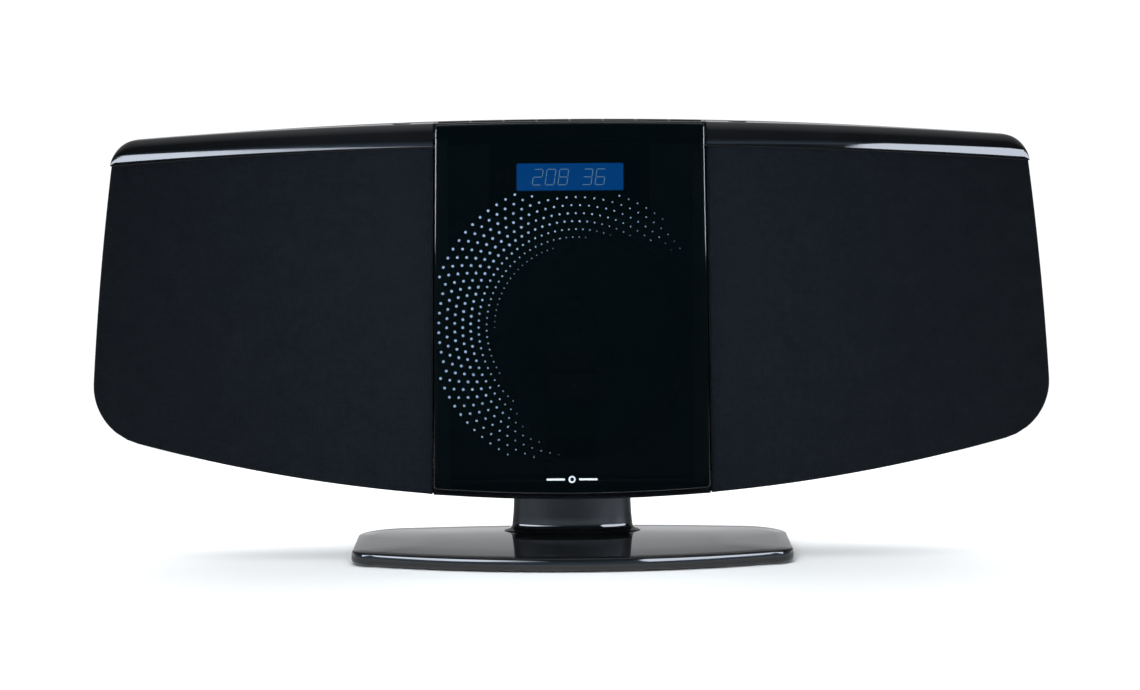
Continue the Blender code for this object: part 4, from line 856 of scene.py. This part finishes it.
# ---------------- disc bay and display
def make_bay():
    low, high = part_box("disc_well")
    table_low, table_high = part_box("turntable")
    disc_z = middle_of("turntable")[2]
    well_r, depth, plate_t = 0.0646, 0.009, 0.002
    floor_y = low[1] + depth
    half_low, half_high = seam_x(low[2]) - 0.0012, seam_x(high[2]) - 0.0012
    outline = [(-half_low, low[2]), (half_low, low[2]), (half_high, high[2]), (-half_high, high[2])]
    bm = bmesh.new()
    add_prism(bm, outline, "XZ", low[1], low[1] + plate_t)
    fascia = plain_object("bay_fascia", bm)
    tools = bmesh.new()
    add_turned(tools, [(0, -0.01), (well_r + 0.0008, -0.01), (well_r + 0.0008, 0.02), (0, 0.02)], "Y",
               (0, low[1], disc_z), 160)
    for name in ("lcd_panel", "ir_window"):
        box_low, box_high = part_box(name)
        add_box(tools, (box_low[0] - 0.0003, low[1] - 0.01, box_low[2] - 0.0003),
                (box_high[0] + 0.0003, low[1] + 0.01, box_high[2] + 0.0003))
    carve(fascia, tools)
    dress(fascia, "cabinet", WELL, ["disc_well"])

    profile = [(well_r + 0.0009, 0.0004)]
    profile += [(well_r + 0.0001 + 0.0008 * (1 - up), 0.0008 * out - 0.0002) for out, up in quarter(5)]
    profile += [(well_r, depth - 0.0016)]
    profile += [(well_r - 0.0016 * out, depth - 0.0016 + 0.0016 * up) for out, up in quarter(5)[1:]]
    profile += [(0.0595, depth), (0.0590, depth - 0.0005), (0.0575, depth - 0.0005), (0.0570, depth),
                (0.0240, depth), (0.0235, depth - 0.0006), (0.0205, depth - 0.0006), (0.0200, depth + 0.0006),
                (0.0125, depth + 0.0006), (0.0115, depth + 0.0016), (0.0115, depth + plate_t),
                (well_r + 0.0012, depth + plate_t), (well_r + 0.0012, 0.0004), (well_r + 0.0009, 0.0004)]
    bm = bmesh.new()
    add_turned(bm, profile, "Y", (0, low[1], disc_z), 160)
    bmesh.ops.remove_doubles(bm, verts=bm.verts, dist=1e-6)
    cup = plain_object("bay_well", bm)
    slot = bmesh.new()
    pick_low, pick_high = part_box("optical_pickup")
    travel = 0.033
    window = rounded_outline((0.0, (pick_low[2] - travel + pick_high[2]) / 2), 0.0145,
                             (pick_high[2] + 0.003 - pick_low[2] + travel) / 2, 0.002)
    add_prism(slot, window, "XZ", floor_y - 0.004, floor_y + 0.006)
    carve(cup, slot)
    dress(cup, "cabinet", WELL, ["disc_well"])

    hub_r, spigot_r = (table_high[0] - table_low[0]) / 2, 0.0073
    front = table_low[1]
    hub = front + 0.0035
    profile = [(0, front + 0.0004), (0.0022, front + 0.0004), (0.0030, front), (spigot_r - 0.0013, front),
               (spigot_r - 0.0004, front + 0.0004), (spigot_r, front + 0.0012), (spigot_r, hub - 0.0002),
               (spigot_r + 0.0003, hub), (hub_r - 0.0056, hub), (hub_r - 0.0053, hub - 0.00025),
               (hub_r - 0.0006, hub - 0.00025), (hub_r, hub + 0.0003), (hub_r, hub + 0.0011),
               (hub_r - 0.0005, hub + 0.0014), (0.0015, hub + 0.0014), (0.0015, table_high[1]), (0, table_high[1])]
    bm = bmesh.new()
    add_turned(bm, profile, "Y", (0, 0, disc_z), 96)
    add_piece("disc_hub", bm, "turntable", PLASTIC, ["turntable"])
    bm = bmesh.new()
    for k in range(3):
        angle = 2 * math.pi * (k + 0.25) / 3
        spot = (spigot_r * math.cos(angle) * 0.94, front + 0.0017, disc_z + spigot_r * math.sin(angle) * 0.94)
        bmesh.ops.create_uvsphere(bm, u_segments=16, v_segments=10, radius=0.0011, matrix=Matrix.Translation(spot))
    add_piece("hub_catches", bm, "turntable", STEEL)

    bm = bmesh.new()
    lens_z = middle_of("optical_pickup")[2]
    add_turned(bm, [(0.0034, 0.0), (0.0034, -0.0005), (0.0030, -0.0009), (0.0024, -0.0009), (0.0021, -0.0006),
                    (0.0, -0.0006)], "Y", (0, pick_low[1] + 0.0007, lens_z), 40)
    add_piece("lens_ring", bm, "pickup", PLASTIC)
    bm = bmesh.new()
    add_turned(bm, [(0.0021, 0.0001), (0.0016, -0.0003), (0.0009, -0.0006), (0, -0.0007)], "Y",
               (0, pick_low[1] + 0.0001, lens_z), 40)
    add_piece("pickup_lens", bm, "pickup", LENS)


SEGMENTS = {"0": "abcdef", "2": "abged", "3": "abgcd", "6": "afgedc", "8": "abcdefg"}
SEGMENT_ENDS = {"a": ((0, 1), (1, 1)), "b": ((1, 1), (1, 0)), "c": ((1, 0), (1, -1)), "d": ((0, -1), (1, -1)),
                "e": ((0, 0), (0, -1)), "f": ((0, 1), (0, 0)), "g": ((0, 0), (1, 0))}


def make_display():
    low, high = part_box("lcd_panel")
    bm = bmesh.new()
    x, _, z = middle_of("lcd_panel")
    centre = (x, z)
    loops = []
    for inset, back in ((0.0, high[1] - low[1]), (0.0, 0.0004), (0.00012, 0.00012), (0.0004, 0.0)):
        outline = rounded_outline(centre, (high[0] - low[0]) / 2 - inset, (high[2] - low[2]) / 2 - inset, 0.0006)
        loops.append([(u, low[1] + back, v) for u, v in outline])
    skin(bm, loops)
    add_piece("display_cell", bm, "cabinet", DISPLAY, ["lcd_panel"], 50)

    bm = bmesh.new()
    width, half, lean = 0.0048, 0.0042, 0.0006
    half_line, gap = 0.00022, 0.0003
    for start, digit in zip((-0.0198, -0.0129, -0.0060, 0.0071, 0.0140), "20836"):
        for segment in SEGMENTS[digit]:
            begin, end = (Vector((start + width * u + lean * v, centre[1] + half * v))
                          for u, v in SEGMENT_ENDS[segment])
            along = (end - begin).normalized()
            across = Vector((-along[1], along[0])) * half_line
            begin, end = begin + along * gap, end - along * gap
            add_prism(bm, [begin - across, end - across, end + across, begin + across], "XZ",
                      low[1] - 0.00006, low[1] + 0.0001)
    add_piece("display_strokes", bm, "cabinet", STROKE)


# ---------------- back: screws and details
def make_screws():
    for k in range(4):
        low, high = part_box(f"rear_screw_{k + 1}")
        x, _, z = middle_of(f"rear_screw_{k + 1}")
        head_r, tip = (high[0] - low[0]) / 2, high[1]
        profile = [(0, low[1]), (0.0010, low[1]), (0.0015, low[1] + 0.001), (0.0015, tip - 0.0014),
                   (head_r, tip - 0.0014), (head_r, tip - 0.0009), (0.93 * head_r, tip - 0.0005),
                   (0.75 * head_r, tip - 0.00015), (0.45 * head_r, tip), (0, tip)]
        bm = bmesh.new()
        add_turned(bm, profile, "Y", (x, 0, z), 48)
        screw = plain_object(f"cover_screw_{k + 1}", bm)
        tools = bmesh.new()
        arm, slot = 0.6 * head_r, 0.00032
        cross = [(slot, slot), (slot, arm), (-slot, arm), (-slot, slot), (-arm, slot), (-arm, -slot), (-slot, -slot),
                 (-slot, -arm), (slot, -arm), (slot, -slot), (arm, -slot), (arm, slot)]
        add_prism(tools, [(x + u, z + v) for u, v in cross], "XZ", tip - 0.0008, tip + 0.001)
        carve(screw, tools)
        dress(screw, "cabinet", SCREW, [f"rear_screw_{k + 1}"])


make_stand()
make_rear_cover()
make_front_shell()
for wing, wing_side in SIDES:
    make_cloth(wing, wing_side)
    make_cap(wing, wing_side)
make_deck()
make_glass()
make_dots()
make_bay()
make_display()
make_screws()

for dressed, look in (("door_edge_trim", SEAM_PLASTIC), ("door_carriage", SEAM_PLASTIC), ("front_cabinet", SATIN),
                      ("door_guide_rod", SCREW)):
    for holder in NODES[dressed].material_slots:
        holder.material = look
for boxed in ("door_edge_trim", "display_bezel", "ir_window", "key_board"):
    weld = NODES[boxed].modifiers.new("weld", "WELD")
    weld.merge_threshold = 0.00001
    soften(NODES[boxed], 0.0003)


# ---------------- floor, world and lights
def glow_with_painted_stand_shadow(material):
    """The paper glows a little, and less so where it lies close to the stand: the dimmer glow there is a painted
    shadow of the stand.
    """
    tree = material.node_tree
    shader = tree.nodes["Principled BSDF"]
    mapping = tree.nodes.new("ShaderNodeMapping")
    fill_in(mapping, {"Location": (0.0, 0.10, 0.0), "Scale": (0.6, 1.0, 1.0)})
    tree.links.new(tree.nodes.new("ShaderNodeTexCoord").outputs["Object"], mapping.inputs["Vector"])
    length = tree.nodes.new("ShaderNodeVectorMath")
    length.operation = "LENGTH"
    tree.links.new(mapping.outputs["Vector"], length.inputs[0])
    # emission weakest near the stand and strongest further out: a painted shadow on the floor round the stand
    glow = map_range(tree, length.outputs["Value"], 0.06, 0.27, 0.02, 0.58, smooth=True)
    shader.inputs["Emission Color"].default_value = (1.0, 1.0, 1.0, 1.0)
    tree.links.new(glow, shader.inputs["Emission Strength"])


floor_bm = bmesh.new()
floor_bm.faces.new([floor_bm.verts.new((x, y, 0.0))
                    for x, y in ((-0.9, -0.28), (0.9, -0.28), (0.9, 0.45), (-0.9, 0.45))])
floor = plain_object("studio_floor", floor_bm)
floor.data.materials.append(FLOOR)
# the floor's glow dims round the stand: a painted contact shadow
glow_with_painted_stand_shadow(FLOOR)

def grey(value, tint=1.0):
    return (value, value * (1 + 0.02 * tint), value * (1 + 0.05 * tint))


def ramp(tree, value, stops):
    node = tree.nodes.new("ShaderNodeValToRGB")
    elements = node.color_ramp.elements
    while len(elements) < len(stops):
        elements.new(0.5)
    for element, (place, colour) in zip(elements, stops):
        element.position = place
        element.color = (*colour, 1.0)
    tree.links.new(value, node.inputs["Fac"])
    return node.outputs["Color"]


def make_world():
    """White for the camera; for everything else bands of light by height, one set ahead and one behind."""
    world = bpy.data.worlds.new("studio")
    bpy.context.scene.world = world
    world.use_nodes = True
    tree = world.node_tree
    tree.nodes.clear()
    seen = tree.nodes.new("ShaderNodeBackground")
    fill_in(seen, {"Color": (1.0, 1.0, 1.0, 1.0), "Strength": 1.05})
    split = tree.nodes.new("ShaderNodeSeparateXYZ")
    tree.links.new(tree.nodes.new("ShaderNodeTexCoord").outputs["Generated"], split.inputs[0])
    height = map_range(tree, split.outputs["Z"], -1.0, 1.0, 0.0, 1.0)
    behind = ramp(tree, height, [
        (0.0, grey(0.6)), (0.47, grey(0.9)), (0.50, grey(0.42)), (0.53, grey(0.46)), (0.5566, grey(1.0)),
        (0.575, grey(0.52)), (0.595, grey(0.36)), (0.625, grey(0.16)), (0.70, grey(0.55, -1.0)), (1.0, grey(0.8))])
    ahead = ramp(tree, height, [
        (0.0, grey(0.2)), (0.455, (0.015, 0.03, 0.035)), (0.492, (0.02, 0.035, 0.045)), (0.498, (0.55, 0.8, 1.15)),
        (0.53, (0.2, 0.3, 0.4)), (0.58, (0.02, 0.03, 0.035)), (0.80, grey(0.05)), (1.0, grey(0.8))])
    blend = tree.nodes.new("ShaderNodeMix")
    blend.data_type = "RGBA"
    turn = map_range(tree, split.outputs["Y"], -0.25, 0.35, 0.0, 1.0, smooth=True)
    for source, socket in ((turn, "Factor"), (ahead, "A"), (behind, "B")):
        tree.links.new(source, blend.inputs[socket])
    lit = tree.nodes.new("ShaderNodeBackground")
    tree.links.new(blend.outputs["Result"], lit.inputs["Color"])
    mix = tree.nodes.new("ShaderNodeMixShader")
    tree.links.new(tree.nodes.new("ShaderNodeLightPath").outputs["Is Camera Ray"], mix.inputs[0])
    tree.links.new(lit.outputs[0], mix.inputs[1])
    tree.links.new(seen.outputs[0], mix.inputs[2])
    output = tree.nodes.new("ShaderNodeOutputWorld")
    tree.links.new(mix.outputs[0], output.inputs["Surface"])


def area_light(name, place, target, width, tall, watts, colour=(1.0, 1.0, 1.0)):
    """A soft lamp that lights surfaces without showing in them."""
    data = bpy.data.lights.new(name, "AREA")
    data.shape = "RECTANGLE"
    data.size = width
    data.size_y = tall
    data.energy = watts
    data.color = colour
    light = bpy.data.objects.new(name, data)
    bpy.context.scene.collection.objects.link(light)
    light.location = place
    light.rotation_mode = "QUATERNION"
    light.rotation_quaternion = (Vector(target) - Vector(place)).to_track_quat("-Z", "Y")
    light.visible_camera = False
    light.visible_glossy = False
    return light


SOFTBOX_DISTANCE = 1.9


def around(degrees, distance, z):
    """A place round the front of the object; 0 is straight ahead of it and + is to the right."""
    return (distance * math.sin(math.radians(degrees)), -distance * math.cos(math.radians(degrees)), z)


def softbox(name, stations, strength, fade_end, first_share):
    """A lit panel beside the camera through (bearing, low, high); its light grows from a first share to full."""
    bm = bmesh.new()
    columns = [[bm.verts.new(around(turned, SOFTBOX_DISTANCE, z)) for z in (low, high)]
               for turned, low, high in stations]
    for near, far in zip(columns, columns[1:]):
        bm.faces.new((near[0], far[0], far[1], near[1]))
    inner_x = columns[0][0].co.x
    panel = plain_object(name, bm)
    material, tree, shader, coords = new_material(f"{name}_glow")
    split = tree.nodes.new("ShaderNodeSeparateXYZ")
    tree.links.new(coords, split.inputs[0])
    full_x = around(fade_end, SOFTBOX_DISTANCE, 0.0)[0]
    spread = map_range(tree, split.outputs["X"], inner_x, full_x, first_share * strength, strength)
    fill_in(shader, {"Base Color": (0.0, 0.0, 0.0, 1.0), "Emission Color": (0.80, 0.87, 1.0, 1.0)})
    tree.links.new(spread, shader.inputs["Emission Strength"])
    panel.data.materials.append(material)
    panel.visible_camera = False
    panel.visible_diffuse = False
    panel.visible_shadow = False


make_world()
area_light("overhead", (0, 0.2, 1.5), (0, 0.1, 0), 3.2, 2.2, 36.0)
fill = area_light("front_fill", (-0.05, -0.55, 0.32), (0, 0, 0.13), 0.3, 0.2, 1.1, (0.90, 0.96, 1.0))
fill.data.spread = math.radians(70)
softbox("left_softbox", ((-6, 0.14, 0.17), (-30, 0.08, 0.25), (-62, 0.07, 0.25)), 17.5, -22, 0.08)
softbox("right_softbox", ((16.8, 0.13, 0.16), (19.2, 0.07, 0.35), (62, 0.07, 0.30)), 16.5, 18.0, 0.5)
bpy.context.scene.view_settings.view_transform = "Standard"
